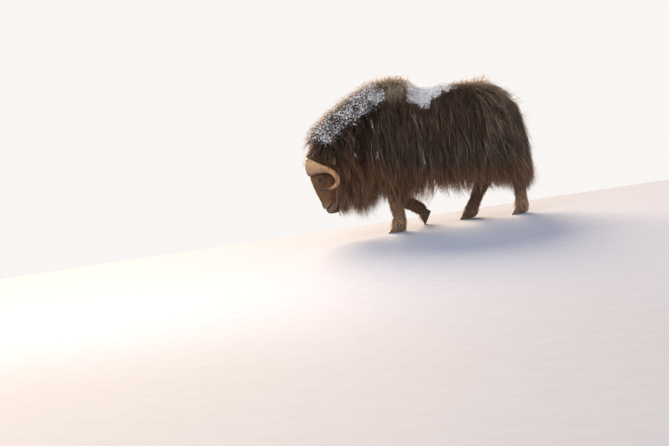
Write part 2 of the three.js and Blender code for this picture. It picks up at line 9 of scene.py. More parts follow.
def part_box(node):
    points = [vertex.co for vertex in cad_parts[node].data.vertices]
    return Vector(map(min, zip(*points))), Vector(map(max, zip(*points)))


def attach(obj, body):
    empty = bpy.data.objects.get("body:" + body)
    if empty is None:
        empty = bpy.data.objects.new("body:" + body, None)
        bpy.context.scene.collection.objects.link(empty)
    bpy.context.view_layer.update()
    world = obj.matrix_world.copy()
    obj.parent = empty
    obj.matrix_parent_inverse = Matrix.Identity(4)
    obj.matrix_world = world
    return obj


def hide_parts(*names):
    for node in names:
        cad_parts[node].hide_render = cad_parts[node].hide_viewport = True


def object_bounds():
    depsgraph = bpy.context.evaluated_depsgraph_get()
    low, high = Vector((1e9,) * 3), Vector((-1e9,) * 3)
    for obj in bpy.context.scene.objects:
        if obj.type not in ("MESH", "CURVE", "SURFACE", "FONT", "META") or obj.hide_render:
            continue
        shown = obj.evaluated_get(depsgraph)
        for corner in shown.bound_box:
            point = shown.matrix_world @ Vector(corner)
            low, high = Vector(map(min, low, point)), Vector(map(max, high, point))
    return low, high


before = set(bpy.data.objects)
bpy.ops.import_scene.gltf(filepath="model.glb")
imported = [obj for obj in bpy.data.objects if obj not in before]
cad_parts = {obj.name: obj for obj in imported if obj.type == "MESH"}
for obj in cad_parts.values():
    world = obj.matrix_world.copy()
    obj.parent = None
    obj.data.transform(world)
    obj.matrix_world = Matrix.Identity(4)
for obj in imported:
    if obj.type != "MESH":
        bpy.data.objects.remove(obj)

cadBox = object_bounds()

# A bull muskox with its head down, facing -X, so that its left side faces -Y. Everything is laid out in the
# body's own frame, in metres once a table is read, and shift carries it to the frame's origin.
eyeAt = np.array([-0.872, 0.131, 0.548])
eyeRadius = 0.020
lowEye, highEye = (np.array(corner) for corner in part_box("eye_right"))
shift = (lowEye + highEye) / 2 - eyeAt


# Numbers and tables

def mix(a, b, t):
    return a + (b - a) * t


def power(v, n):
    return np.sign(v) * np.abs(v) ** (2 / n)


def ease(t):
    t = np.clip(t, 0, 1)
    return t * t * (3 - 2 * t)


def ramp(v, low, high):
    return ease((v - low) / (high - low))


def bump(v, centre, width):
    return np.exp(-(((v - centre) / width) ** 2))


def unit(v):
    return v / np.maximum(np.linalg.norm(v, axis=-1, keepdims=True), 1e-9)


def across(v, n):  # v without its part along n
    return v - n * np.sum(v * n, axis=-1, keepdims=True)


def roundTurn(count):  # angles evenly round a circle
    return np.arange(count) / count * 2 * math.pi


def signOf(y):  # -1 on the left side, 1 on the right
    return np.where(y < 0, -1.0, 1.0)


def columns(p, *parts):  # a row for each point, from numbers or from one value a point
    return np.stack([np.broadcast_to(part, len(p)) for part in parts], 1)


def toRight(p):  # points of the left side mirrored to the right one
    return p * columns(p, 1.0, signOf(p[:, 1]), 1.0)


def rowAt(rows, t):  # a smooth curve through a table's rows, t from 0 to 1
    rows = np.asarray(rows, float)
    place = np.clip(np.asarray(t, float), 0, 1) * (len(rows) - 1)
    i = np.minimum(np.floor(place).astype(int), len(rows) - 2)
    f = (place - i)[..., None]
    a, b, c, d = (rows[np.clip(i + k, 0, len(rows) - 1)] for k in (-1, 0, 1, 2))
    out, into = (c - a) / 2, (d - b) / 2
    return b + f * out + f * f * (3 * (c - b) - 2 * out - into) + f ** 3 * (2 * (b - c) + out + into)


def crowded(count, low, high, density):  # places from low to high, closer where density is higher
    fine = np.linspace(low, high, 4000)
    total = np.cumsum(density(fine))
    total = (total - total[0]) / (total[-1] - total[0])
    return np.interp(np.linspace(0, 1, count), total, fine)


def drift(p, seed, size):  # smooth noise in space, about -1 to 1
    rng = np.random.default_rng(seed)
    total = np.zeros(len(p))
    for _ in range(6):
        way = rng.normal(size=3)
        way *= 2 * math.pi / (np.linalg.norm(way) * size * rng.uniform(0.6, 1.5))
        total += np.sin(p @ way + rng.uniform(0, 2 * math.pi))
    return total / 2.6


def awayFrom(line, x, z):  # distance to a bent line seen from the side
    best = np.full(x.shape, 9.0)
    for (x0, z0), (x1, z1) in zip(line[:-1], line[1:]):
        t = np.clip(((x - x0) * (x1 - x0) + (z - z0) * (z1 - z0)) / ((x1 - x0) ** 2 + (z1 - z0) ** 2), 0, 1)
        best = np.minimum(best, np.hypot(x - mix(x0, x1, t), z - mix(z0, z1, t)))
    return best


# Meshes

def addMesh(name, points, faces):
    mesh = bpy.data.meshes.new(name)
    mesh.from_pydata((np.asarray(points, float) + shift).tolist(), [], faces)
    mesh.update()
    mesh.shade_smooth()
    piece = bpy.data.objects.new(name, mesh)
    bpy.context.collection.objects.link(piece)
    return piece


def readThrees(items, name, kind=np.float32):
    values = np.empty(len(items) * 3, kind)
    items.foreach_get(name, values)
    return values.reshape(-1, 3)


def pointsOf(mesh):
    return readThrees(mesh.vertices, "co").astype(float)


def trianglesOf(mesh):
    mesh.calc_loop_triangles()
    return readThrees(mesh.loop_triangles, "vertices", np.int32)


def setFloat(mesh, name, values):
    mesh.attributes.new(name, "FLOAT", "POINT").data.foreach_set("value", np.asarray(values, np.float32))


def addLoft(name, rings, closed=False):
    # a piece over rings of points, faces out: capped at both ends, or closed from its last ring to its first
    count, sides = rings.shape[:2]
    total = count * sides
    quads = [[r * sides + i, r * sides + j, ((r + 1) * sides + j) % total, ((r + 1) * sides + i) % total]
             for r in range(count if closed else count - 1) for i in range(sides) for j in [(i + 1) % sides]]
    caps = [] if closed else [list(range(sides))[::-1], list(range(total - sides, total))]
    piece = addMesh(name, rings.reshape(-1, 3), caps[:1] + quads + caps[1:])
    a, b, c = pointsOf(piece.data)[trianglesOf(piece.data)].transpose(1, 0, 2)
    if np.sum(a * np.cross(b, c)) < 0:
        piece.data.flip_normals()
    return piece


def tube(rows, up, rings, sides, side=1, swell=None, places=None):
    # rings round a curve through the first three columns; the last two are half sizes, the first along up
    t = np.linspace(0, 1, rings) if places is None else places
    at = rowAt(rows, t)
    centre = at[:, :3]
    along = unit(np.gradient(centre, axis=0))
    stand = np.array(up, float)
    angle = roundTurn(sides)
    out = np.empty((len(t), sides, 3))
    for r in range(len(t)):
        stand = unit(stand - along[r] * (stand @ along[r]))
        wide = np.cross(along[r], stand)
        grow = np.ones(sides) if swell is None else swell(t[r], angle)
        out[r] = (centre[r] + stand * (at[r, 3] * grow * np.cos(angle))[:, None]
                  + wide * (at[r, 4] * grow * np.sin(angle))[:, None])
    return out * [1, side, 1]


def applied(piece):  # the piece's mesh with its modifiers applied
    bpy.context.view_layer.update()
    graph = bpy.context.evaluated_depsgraph_get()
    mesh = bpy.data.meshes.new_from_object(piece.evaluated_get(graph))
    old = piece.data
    piece.modifiers.clear()
    piece.data = mesh
    bpy.data.meshes.remove(old)
    return piece


def fused(piece, other):
    cut = piece.modifiers.new("fuse", "BOOLEAN")
    cut.operation, cut.solver, cut.object = "UNION", "MANIFOLD", other
    applied(piece)
    bpy.data.objects.remove(other)
    return piece


# The trunk: x, top, foot, half width, height of the widest place, depth of the coat, hair under the belly
trunkRows = np.array([
    [-940, 870, 800, 70, 835, 70, 40],
    [-860, 1026, 600, 178, 830, 80, 110],
    [-700, 1134, 240, 256, 790, 90, 240],
    [-520, 1234, 165, 294, 770, 95, 290],
    [-340, 1332, 250, 330, 780, 95, 240],
    [-180, 1352, 262, 350, 780, 90, 230],
    [-60, 1332, 235, 360, 750, 80, 250],
    [60, 1226, 285, 366, 720, 60, 240],
    [280, 1210, 250, 368, 700, 55, 250],
    [540, 1214, 225, 358, 700, 60, 260],
    [720, 1186, 185, 330, 710, 75, 270],
    [860, 1075, 190, 286, 700, 85, 270],
    [950, 885, 205, 214, 630, 90, 250],
    [980, 640, 290, 110, 500, 80, 200],
]) / 1000
trunkLook = {"rings": 130, "sides": 132, "back": 0.98, "round": 2.1, "belly": 2.6, "voxel": 0.0085,
             "deep": 0.80}  # share of the coat's depth that the skin lies in from its outline


def trunkRings():
    look = trunkLook
    x, top, foot, half, wide, coat, skirt = rowAt(trunkRows, np.linspace(0, 1, look["rings"])).T
    coat = coat * look["deep"]
    x = x - coat * x / look["back"]
    top, half = top - coat, np.maximum(half - coat, 0.012)
    foot = np.minimum(foot + skirt, top - 0.03)
    wide = np.clip(wide, foot + 0.01, top - 0.01)
    angle = roundTurn(look["sides"])
    c, s = np.cos(angle), np.sin(angle)
    n = np.where(s > 0, look["round"], look["belly"])
    out = np.empty((len(x), len(angle), 3))
    for r in range(len(x)):
        height = np.where(s > 0, top[r] - wide[r], wide[r] - foot[r])
        out[r] = columns(s, x[r], half[r] * power(c, n), wide[r] + height * power(s, n))
    return out


# The head hangs nose down: z, front, back, half width
headRows = np.array([
    [846, -890, -700, 70], [800, -925, -665, 112], [740, -950, -640, 136], [660, -962, -622, 146],
    [590, -968, -615, 144], [520, -958, -625, 128], [450, -932, -650, 106], [385, -906, -682, 90],
    [325, -888, -708, 82], [278, -868, -728, 74], [246, -842, -742, 58],
]) / 1000
headLook = {
    "rings": 260, "sides": 260, "round": 2.4, "chin": [-0.800, 0.230], "chinRings": 22,
    "hair": [0.005, 0.016],          # how far the skin lies in from the coat at the muzzle and the brow
    "mouth": [[-0.930, 0.240], [-0.831, 0.288], [-0.782, 0.338]], "mouthDeep": 0.011, "mouthWide": 0.0042,
    "nostril": [-0.884, 0.034, 0.312], "nostrilSize": [0.0075, 0.0145], "nostrilDeep": 0.016,
    "nostrilLean": 0.45, "lip": 0.0028, "eyeSides": 1.96,  # the angles where the eyes sit
}
headForms = [  # height, place and size of each rise or hollow
    (0.010, [-0.885, 0.100, 0.592], [0.05, 0.035, 0.022]),     # brow over the eye
    (0.006, [-0.735, 0.110, 0.470], [0.06, 0.06, 0.075]),      # jaw muscle
    (-0.007, [-0.880, 0.098, 0.455], [0.04, 0.035, 0.050]),    # hollow before the eye
    (0.005, [-0.915, 0.000, 0.420], [0.04, 0.055, 0.080]),     # bridge of the nose
    (0.008, [-0.872, 0.048, 0.300], [0.035, 0.034, 0.026]),    # upper lip
    (0.007, [-0.838, 0.000, 0.250], [0.030, 0.040, 0.017]),    # lower lip
    (-0.004, [-0.885, 0.000, 0.300], [0.03, 0.006, 0.030]),    # groove below the nose
]
eyeLook = {
    "out": unit(np.array([-0.34, 0.93, 0.10])),  # where the eye looks
    "slit": unit(np.array([-0.80, -0.28, -0.52])),  # towards the corner at the nose
    "long": 0.0165, "tall": 0.0112, "lid": 0.0026, "hill": 0.062, "orbit": 0.016, "slope": 0.42,
}


def eyeFrame():
    out = eyeLook["out"]
    slit = unit(across(eyeLook["slit"], out))
    return out, slit, np.cross(out, slit)


def headRings():
    look = headLook
    even = np.linspace(0, 1, 4000)
    zAt = rowAt(headRows, even)[:, 0]

    def ringsFor(v):  # closer at the eyes and at the muzzle
        z = np.interp(v, even, zAt)
        return 1 + 1.6 * bump(z, 0.548, 0.04) + 1.4 * (1 - ramp(z, 0.33, 0.38))

    def sidesFor(v):
        left, right = (bump(v, angle, 0.22) for angle in (look["eyeSides"], 2 * math.pi - look["eyeSides"]))
        return 1 + 1.5 * left + 1.5 * right + 0.7 * bump(v, math.pi, 0.6)
    z, front, back, half = rowAt(headRows, crowded(look["rings"], 0, 1, ringsFor)).T
    angle = crowded(look["sides"] + 1, 0, 2 * math.pi, sidesFor)[:-1]
    c, s = power(np.cos(angle), look["round"]), power(np.sin(angle), look["round"])
    x = ((front + back) / 2)[:, None] + ((back - front) / 2)[:, None] * c
    rings = np.stack([x, half[:, None] * s, np.repeat(z[:, None], len(angle), 1)], 2)
    last = rings[-1]
    chinX, chinZ = look["chin"]
    chin = np.array([np.stack([mix(last[:, 0], chinX, 1 - np.cos(a)), last[:, 1] * np.cos(a),
                               last[:, 2] - (headRows[-1, 0] - chinZ) * math.sin(a)], 1)
                     for a in np.linspace(0, 1, look["chinRings"] + 1)[1:-1] * math.pi / 2])
    return shapedHead(np.concatenate([rings, chin]))


def shapedHead(rings):
    look = headLook
    n = unit(np.cross(np.roll(rings, -1, 1) - np.roll(rings, 1, 1), np.gradient(rings, axis=0)))
    n = n * np.sign(np.sum(n * (rings - rings.mean(axis=1, keepdims=True))) or 1)
    p = rings.copy()
    x, y, z = p[..., 0], np.abs(p[..., 1]), p[..., 2]
    side = signOf(p[..., 1])
    flip = np.stack([np.ones_like(side), side, np.ones_like(side)], -1)
    q = np.stack([x, y, z], -1)
    rise = -mix(look["hair"][0], look["hair"][1], ramp(z, 0.34, 0.60))
    for lift, place, size in headForms:
        rise += lift * np.exp(-np.sum(((q - place) / size) ** 2, -1))
    mouthAway = awayFrom(look["mouth"], x, z)
    rise -= look["mouthDeep"] * bump(mouthAway, 0, look["mouthWide"])
    rise += look["lip"] * bump(mouthAway, 0.011, 0.006)
    out, tall = y - look["nostril"][1], z - look["nostril"][2]
    c, s = math.cos(look["nostrilLean"]), math.sin(look["nostrilLean"])
    r = np.hypot((out * c - tall * s) / look["nostrilSize"][0], (out * s + tall * c) / look["nostrilSize"][1])
    rise += ramp(-x, 0.845, 0.862) \
        * (0.0045 * bump(r, 1.45, 0.40) - look["nostrilDeep"] * (1 - ramp(r, 0.55, 1.1)))
    p += n * rise[..., None]

    out, orbit = eyeLook["out"], eyeLook["orbit"]
    q = p * flip
    away = q - eyeAt
    height = away @ out
    r = np.linalg.norm(away - height[..., None] * out, axis=-1)
    lid = np.sqrt(np.maximum((eyeRadius - 0.002) ** 2 - r ** 2, 0))
    want = np.where(r < orbit, lid - 0.006, 0.006 - (r - orbit) * eyeLook["slope"])
    share = (1 - ramp(r, 0.018, eyeLook["hill"])) * (height > -0.06)
    return (q + out * ((want - height) * share)[..., None]) * flip


def lidRings():
    # the lids of the right eye: from inside the slit, over their rim, and out into the orbit
    out, slit, tallWay = eyeFrame()
    a = roundTurn(72)
    v = eyeLook["tall"] * np.sign(np.sin(a)) * np.abs(np.sin(a)) ** 1.15 * np.where(np.sin(a) > 0, 1.0, 0.86)
    edge = np.stack([eyeLook["long"] * np.cos(a), v], 1)
    far = np.stack([np.cos(a), np.sin(a)], 1)
    lid = eyeLook["lid"]
    steps = [  # share of the way out to the orbit, lift over the eyeball
        (0.0, -0.0030), (0.0, 0.0006), (0.05, lid * 0.8), (0.14, lid * 1.15), (0.26, lid), (0.40, lid * 0.75),
        (0.55, lid * 0.85), (0.72, lid * 0.7), (0.86, 0.0008), (1.0, -0.004), (1.15, -0.012), (1.1, -0.022),
        (0.5, -0.024)]
    rings = []
    for share, lift in steps:
        reach = edge * (1 - min(share, 1)) + far * 0.0225 * share
        r = np.linalg.norm(reach, axis=1)
        ball = np.sqrt(np.maximum((eyeRadius + max(lift, 0)) ** 2 - np.minimum(r, 0.0195) ** 2, 1e-8))
        if lift < -0.0029:
            ball = ball + lift
        rings.append(eyeAt + reach[:, :1] * slit + reach[:, 1:] * tallWay + ball[:, None] * out)
    rings.append(eyeAt + edge[:, :1] * slit * 0.9 + edge[:, 1:] * tallWay * 0.9 - 0.002 * out)
    return np.array(rings)


# Ears: x, y, z, half width, half thickness
earRows = np.array([[-770, 120, 728, 22, 14], [-752, 165, 722, 32, 17], [-738, 215, 708, 33, 15],
                    [-728, 262, 688, 20, 10], [-722, 290, 674, 5, 4]]) / 1000
earLook = {"up": [0.4, 0, 0.9], "rings": 40, "sides": 48, "cup": 0.72, "thin": 0.86}


def earRings(side):
    def swell(t, angle):
        hollow = bump((angle - 1.5 * math.pi + math.pi) % (2 * math.pi) - math.pi, 0, 0.95)
        return earLook["thin"] * (1 - earLook["cup"] * hollow * ramp(t, 0.12, 0.42) * (1 - ramp(t, 0.86, 1)))
    return tube(earRows, earLook["up"], earLook["rings"], earLook["sides"], side, swell)


# Legs and tail: x, y, z, half depth fore and aft, half width
legRows = {
    "front_left": [[-218, 168, 500, 92, 62], [-228, 180, 400, 86, 62], [-238, 190, 300, 80, 62],
                   [-236, 190, 215, 70, 58], [-233, 190, 135, 63, 54], [-240, 190, 90, 68, 58],
                   [-262, 190, 55, 68, 58]],
    "front_right": [[-205, 168, 500, 92, 62], [-198, 180, 400, 86, 60], [-184, 190, 310, 82, 60],
                    [-140, 192, 235, 76, 56], [-84, 195, 186, 66, 54], [-30, 198, 150, 62, 54],
                    [-8, 200, 112, 48, 50]],
    "hind_left": [[800, 112, 500, 76, 58], [830, 130, 420, 76, 58], [852, 148, 325, 70, 56],
                  [850, 156, 220, 64, 52], [845, 158, 130, 62, 52], [844, 158, 88, 64, 54],
                  [826, 158, 55, 62, 52]],
    "hind_right": [[600, 132, 500, 90, 62], [578, 142, 400, 84, 60], [548, 152, 305, 76, 58],
                   [504, 156, 228, 66, 54], [458, 158, 150, 62, 52], [422, 158, 96, 64, 54],
                   [394, 158, 56, 62, 52]],
}
legLook = {"rings": 60, "sides": 48, "in": 0.011}
tailRows = np.array([[790, 0, 960, 30, 34], [836, 0, 1005, 30, 34], [880, 0, 968, 36, 40],
                     [912, 0, 900, 36, 40], [928, 0, 835, 30, 32], [934, 0, 775, 14, 16]]) / 1000


def sideOf(name):
    return -1 if name.endswith("left") else 1


def legRings(name):
    rows = np.array(legRows[name]) / 1000
    rows[:, 3:] -= legLook["in"]

    def swell(t, angle):  # a knee or hock in front, narrow above it
        knee, above = bump(t, 0.50, 0.10), bump(t, 0.66, 0.12)
        return 1 + 0.05 * np.cos(angle) * knee - 0.07 * np.abs(np.sin(angle)) ** 2 * above
    return tube(rows, [-1, 0, 0], legLook["rings"], legLook["sides"], sideOf(name), swell)


def makeBody():  # one skin over the trunk, legs, tail, head, lids and ears
    dockRows = np.column_stack([tailRows[:, :3], tailRows[:, 3:] * 0.6])
    parts = [addLoft("body", trunkRings())] + [addLoft("limb", legRings(name)) for name in legRows]
    parts.append(addLoft("dock", tube(dockRows, [1, 0, 1], 30, 32)))
    body = parts[0]
    with bpy.context.temp_override(active_object=body, selected_editable_objects=parts):
        bpy.ops.object.join()
    grid = body.modifiers.new("grid", "REMESH")
    grid.mode, grid.voxel_size = "VOXEL", trunkLook["voxel"]
    even = body.modifiers.new("even", "SMOOTH")
    even.factor, even.iterations = 0.5, 6
    applied(body)
    head = addLoft("headSkin", headRings())
    for side in (-1, 1):
        fused(head, addLoft("lids", lidRings() * [1, side, 1], True))
        fused(head, addLoft("earSkin", earRings(side)))
    fused(body, head)
    body.name = "skin"
    return body


print("skin")
skin = makeBody()
print("skin points", len(skin.data.vertices))


# Shader helpers

def feed(tree, socket, given):  # a link from another node, or a fixed value
    if isinstance(given, bpy.types.NodeSocket):
        tree.links.new(given, socket)
    else:
        socket.default_value = given


def put(tree, kind, inputs=None, **values):  # a node with its properties, and its inputs by name or number
    node = tree.nodes.new(kind)
    for name, value in values.items():
        setattr(node, name, value)
    for key, given in (inputs or {}).items():
        feed(tree, node.inputs[key], given)
    return node


def newMaterial(name):
    material = bpy.data.materials.new(name)
    material.use_nodes = True
    material.node_tree.nodes.clear()
    return material, material.node_tree


def attribute(tree, name):
    return put(tree, "ShaderNodeAttribute", attribute_name=name).outputs["Fac"]


def maths(tree, operation, *given):
    return put(tree, "ShaderNodeMath", dict(enumerate(given)), operation=operation).outputs[0]


def times(tree, a, b):
    return maths(tree, "MULTIPLY", a, b)


def plus(tree, a, b):
    return maths(tree, "ADD", a, b)


def blend(tree, share, a, b, kind="MIX"):
    return put(tree, "ShaderNodeMix", {0: share, 6: a, 7: b}, data_type="RGBA", blend_type=kind).outputs[2]


def ranged(tree, value, low, high, to=(0.0, 1.0)):
    return put(tree, "ShaderNodeMapRange", {0: value, 1: low, 2: high, 3: to[0], 4: to[1]},
               interpolation_type="SMOOTHSTEP").outputs[0]


def noise(tree, where, scale, detail=4.0, rough=0.55):
    return put(tree, "ShaderNodeTexNoise",
               {"Vector": where, "Scale": scale, "Detail": detail, "Roughness": rough}).outputs["Fac"]


def placeOf(tree):
    return put(tree, "ShaderNodeTexCoord").outputs["Object"]


def bumped(tree, height, strength, distance):
    node = put(tree, "ShaderNodeBump", {"Height": height, "Strength": strength, "Distance": distance})
    return node.outputs["Normal"]


def shaded(tree, colour, roughness, normal=None, fixed=None):
    shader = put(tree, "ShaderNodeBsdfPrincipled", fixed)
    for name, given in (("Base Color", colour), ("Roughness", roughness), ("Normal", normal)):
        if given is not None:
            feed(tree, shader.inputs[name], given)
    put(tree, "ShaderNodeOutputMaterial", {"Surface": shader.outputs[0]})


def linear(*levels):  # a colour given in 0 to 255 as it looks on a screen
    v = np.array(levels) / 255
    return (*np.where(v <= 0.04045, v / 12.92, ((v + 0.055) / 1.055) ** 2.4).tolist(), 1.0)


# Every hair takes its colour from here: dark at its root, brown in the middle, paler and warmer at its tip,
# lighter and warmer low on the body as painted haze light, faded where it is old and where painted rim light
# sits on the crest and the rear, and white where frost sits on it
def makeHairTone():
    group = bpy.data.node_groups.new("hairTone", "ShaderNodeTree")
    for name in ("Root", "Middle", "Tip", "Faded"):
        group.interface.new_socket(name=name, in_out="INPUT", socket_type="NodeSocketColor")
    for name in ("Along", "Tint", "Pale", "Frost", "Warm"):
        group.interface.new_socket(name=name, in_out="INPUT", socket_type="NodeSocketFloat")
    group.interface.new_socket(name="Color", in_out="OUTPUT", socket_type="NodeSocketColor")
    given = put(group, "NodeGroupInput").outputs
    body = blend(group, ranged(group, given["Along"], 0.05, 0.55), given["Root"], given["Middle"])
    body = blend(group, ranged(group, given["Along"], 0.62, 1.0), body, given["Tip"])
    # painted haze light: lighter and warmer low on the body
    body = blend(group, given["Warm"], body, (2.25, 1.58, 1.14, 1), "MULTIPLY")
    faded = blend(group, given["Warm"], given["Faded"], (1.15, 0.84, 0.62, 1), "MULTIPLY")
    body = blend(group, given["Pale"], body, faded)
    shade = ranged(group, given["Tint"], -0.25, 1.0, (0.80, 0.0))
    dark = blend(group, shade, (1, 1, 1, 1), (0.16, 0.14, 0.13, 1))
    body = blend(group, 1.0, body, dark, "MULTIPLY")
    specks = plus(group, noise(group, placeOf(group), 100, 3, 0.6), times(group, given["Frost"], 0.50))
    body = blend(group, times(group, ranged(group, specks, 0.88, 0.93), 0.96), body, linear(246, 248, 252))
    put(group, "NodeGroupOutput", {"Color": body})
    return group


hairTone = makeHairTone()
coatTones = {
    "coat": {"Root": linear(29, 22, 18), "Middle": linear(66, 50, 41), "Tip": linear(128, 98, 76),
             "Faded": linear(206, 183, 162), "rough": 0.58},
    "face": {"Root": linear(54, 38, 28), "Middle": linear(104, 76, 56), "Tip": linear(130, 98, 73),
             "Faded": linear(196, 168, 140), "rough": 0.62},
    "leg": {"Root": linear(72, 54, 42), "Middle": linear(124, 96, 75), "Tip": linear(164, 132, 104),
            "Faded": linear(222, 200, 174), "rough": 0.66},
}


def hairMaterial(name):
    material, tree = newMaterial(name + "Hair")
    tones = dict(coatTones[name])
    rough = tones.pop("rough")
    marks = {word.title(): attribute(tree, word) for word in ("along", "tint", "pale", "frost", "warm")}
    tone = put(tree, "ShaderNodeGroup", {**tones, **marks}, node_tree=hairTone)
    shaded(tree, tone.outputs["Color"], maths(tree, "MULTIPLY_ADD", attribute(tree, "tint"), 0.14, rough),
           fixed={"Specular IOR Level": 0.26, "Subsurface Weight": 0.35, "Subsurface Scale": 0.006,
                  "Subsurface Radius": (1.0, 0.6, 0.35)})
    return material


hairMaterials = {name: hairMaterial(name) for name in coatTones}


# Where the coat is paler, warmer or frosted: the same for the skin and for the hairs, with painted rim light
# and painted haze light among it
frostLook = {"line": [[-0.850, 0.905], [-0.739, 0.990], [-0.531, 1.095], [-0.310, 1.220]], "wide": 0.175,
             "share": [[-0.90, -0.76, -0.60, -0.46, -0.30], [0.92, 0.97, 0.82, 0.94, 1.14]],
             "saddle": [[0.0, 0.10, 0.155, 0.20, 0.30, 0.45, 0.60],  # x, and the height of its edge
                        [1.100, 1.050, 1.040, 1.105, 1.150, 1.200, 1.240]]}


def marksAt(p):
    x, y, z = p.T
    y = np.abs(y)
    patch, clump = drift(p, 13, 0.16), drift(p, 17, 0.075)
    band = 1 - ramp(awayFrom(frostLook["line"], x, z), 0.05, frostLook["wide"])
    neck = (0.68 + 0.08 * patch + 0.09 * clump) * band * ramp(y, 0.01, 0.13) * np.interp(x, *frostLook["share"])
    edge = np.interp(x, *frostLook["saddle"]) + 0.016 * patch + 0.012 * clump
    saddle = ramp(x + 0.04 * clump, -0.075, 0.050) * (1 - ramp(x + 0.05 * clump, 0.26, 0.46)) \
        * ramp(z, edge - 0.030, edge + 0.045)
    hump = bump(x, -0.13, 0.19) * ramp(z, 1.09, 1.26)
    # painted rim light: paler hair along the top of the back
    crest = (1 - ramp(y, 0.05, 0.15)) * ramp(z, 0.90, 1.05)
    rump = bump(x, 0.66, 0.10) * ramp(z, 1.08, 1.16)
    # painted rim light: paler hair at the rear
    rearRimLight = ramp(x, 0.74, 0.92)
    # painted haze light: paler low on the body
    low = 1 - ramp(z, 0.42, 0.80)
    foot = (1 - ramp(z, 0.05, 0.21)) * (1 + 0.8 * ramp(x, 0.86, 0.90))
    pale = 0.40 * saddle + 1.15 * hump + 0.34 * rump + 0.049 * rearRimLight + 0.28 * crest \
        + 0.06 * ramp(patch, -0.4, 1) + 0.13 * low + 0.55 * foot
    leg = 1 - ramp(z, 0.20, 0.34)
    # painted haze light: lighter and warmer low on the body, less on the legs
    warmLow, warmHigh = (np.interp(x, [-0.60, -0.20, 0.60], [top, 0.44, 0.36]) for top in (0.58, 0.80))
    warm = 1 - ramp(z, warmLow, warmHigh + 0.16 * (x > -0.60)) - 0.50 * leg
    frost = np.maximum(neck, (1.08 + 0.10 * patch) * saddle)
    return {"frost": np.clip(frost, 0, 1), "pale": np.clip(pale, 0, 1), "warm": np.clip(warm, 0, 1), "leg": leg,
            "muzzle": ramp(-z, -0.36, -0.27) * ramp(-x, 0.70, 0.80), "head": inHead(p)}


def inHead(p):  # 1 on the head, 0 behind the jaw and the boss
    x, z = p[:, 0], p[:, 2]
    back = np.interp(z, [0.06, 0.33, 0.57, 0.80, 0.925, 1.3], [-0.690, -0.655, -0.655, -0.745, -0.880, -1.3])
    return ramp(back - x, -0.012, 0.012) * (1 - ramp(z, 0.88, 0.93))


# Hair: closed three-sided blades, marched over the skin from their roots

def facesToGrow(source):
    corners = source["faces"][:source["grow"]]
    return source["at"][corners], source["normals"][corners]


def chancesOn(source, weight):
    p, n = facesToGrow(source)
    area = np.linalg.norm(np.cross(p[:, 1] - p[:, 0], p[:, 2] - p[:, 0]), axis=1)
    return np.cumsum(area * np.clip(weight(p.mean(1), unit(n.mean(1))), 0, None))


def rootsOn(source, count, total, seed):
    rng = np.random.default_rng(seed)
    p, n = facesToGrow(source)
    place = (np.arange(count) + rng.uniform(0, 1, count)) / count * total[-1]
    face = np.minimum(np.searchsorted(total, place), len(total) - 1)
    a, b = rng.uniform(0, 1, (2, count))
    over = a + b > 1
    a[over], b[over] = 1 - a[over], 1 - b[over]
    share = np.stack([1 - a - b, a, b], 1)[..., None]
    return np.sum(p[face] * share, 1), unit(np.sum(n[face] * share, 1))


def nearestOn(source, p):
    place, index = np.empty_like(p), np.empty(len(p), int)
    find = source["tree"].find_nearest
    for i, at in enumerate(p.tolist()):
        place[i], _, index[i], _ = find(at)
    normal = unit(source["normals"][source["faces"][index]].mean(1))
    return place, normal, np.sum((p - place) * normal, 1)


def sourceOf(grown, *others):  # a mesh to grow hair on, and pieces that it lies over
    at, faces, normals, total = [], [], [], 0
    for piece in (grown, *others):
        at.append(pointsOf(piece.data) - shift)
        faces.append(trianglesOf(piece.data) + total)
        normals.append(readThrees(piece.data.vertex_normals, "vector").astype(float))
        total += len(at[-1])
    at, corners = np.concatenate(at), np.concatenate(faces)
    return {"at": at, "faces": corners, "grow": len(faces[0]), "normals": np.concatenate(normals),
            "tree": BVHTree.FromPolygons(at.tolist(), corners.tolist())}


leanRows = np.array([[-0.95, -0.60], [-0.86, -0.30], [-0.76, 0.05], [-0.60, 0.18], [-0.42, 0.04], [0.00, 0.02],
                     [0.48, 0.06], [0.70, 0.30], [0.80, 0.34], [0.93, 0.12]]).T  # x, lean back
crestRows = np.array([[-0.90, -0.60], [-0.40, -0.35], [-0.10, 0.25], [0.10, 0.80]]).T  # the same along the back


def bodyLie(p, n):
    side = signOf(p[:, 1])
    lie = columns(p, np.interp(p[:, 0], *leanRows), 0.25 * side * ramp(n[:, 2], -0.1, 0.4), -1.0)
    crest = columns(p, np.interp(p[:, 0], *crestRows), side * 0.45, -0.2)
    share = (ramp(n[:, 2], 0.72, 0.98) * (1 - ramp(np.abs(p[:, 1]), 0.05, 0.18)))[:, None]
    return unit(mix(lie, crest, share))


def marched(source, roots, normals, lie, length, lift, look, seed):
    rng = np.random.default_rng(seed)
    p = roots - normals * look["sink"]
    n = normals.copy()
    curl = rng.normal(0, look["curl"], (len(p), 2))
    path, ups = [p.copy()], [n.copy()]
    for t in (np.arange(look["steps"]) + 1) / look["steps"]:
        along = lie(p, n)
        sideways = unit(np.cross(along, n))
        along = along + sideways * (curl[:, :1] + curl[:, 1:] * (t - 0.4) * 2) \
            + sideways * (look["wander"] * drift(p, seed + 5, 0.16))[:, None]
        free = n[:, 2] < look["free"]
        held = ~free | (np.sum(along * n, 1) < 0)
        along = np.where(held[:, None], across(along, n), along)
        p = p + unit(along) * (length / look["steps"])[:, None]
        place, found, clear = nearestOn(source, p)
        n = unit(mix(n, found, 0.6))
        want = mix(-look["sink"], lift, np.minimum(t * look["rise"], 1))
        p = p + found * np.where((want > clear) | ~free, want - clear, 0)[:, None]
        path.append(p.copy())
        ups.append(n.copy())
    return np.stack(path, 1), np.stack(ups, 1)


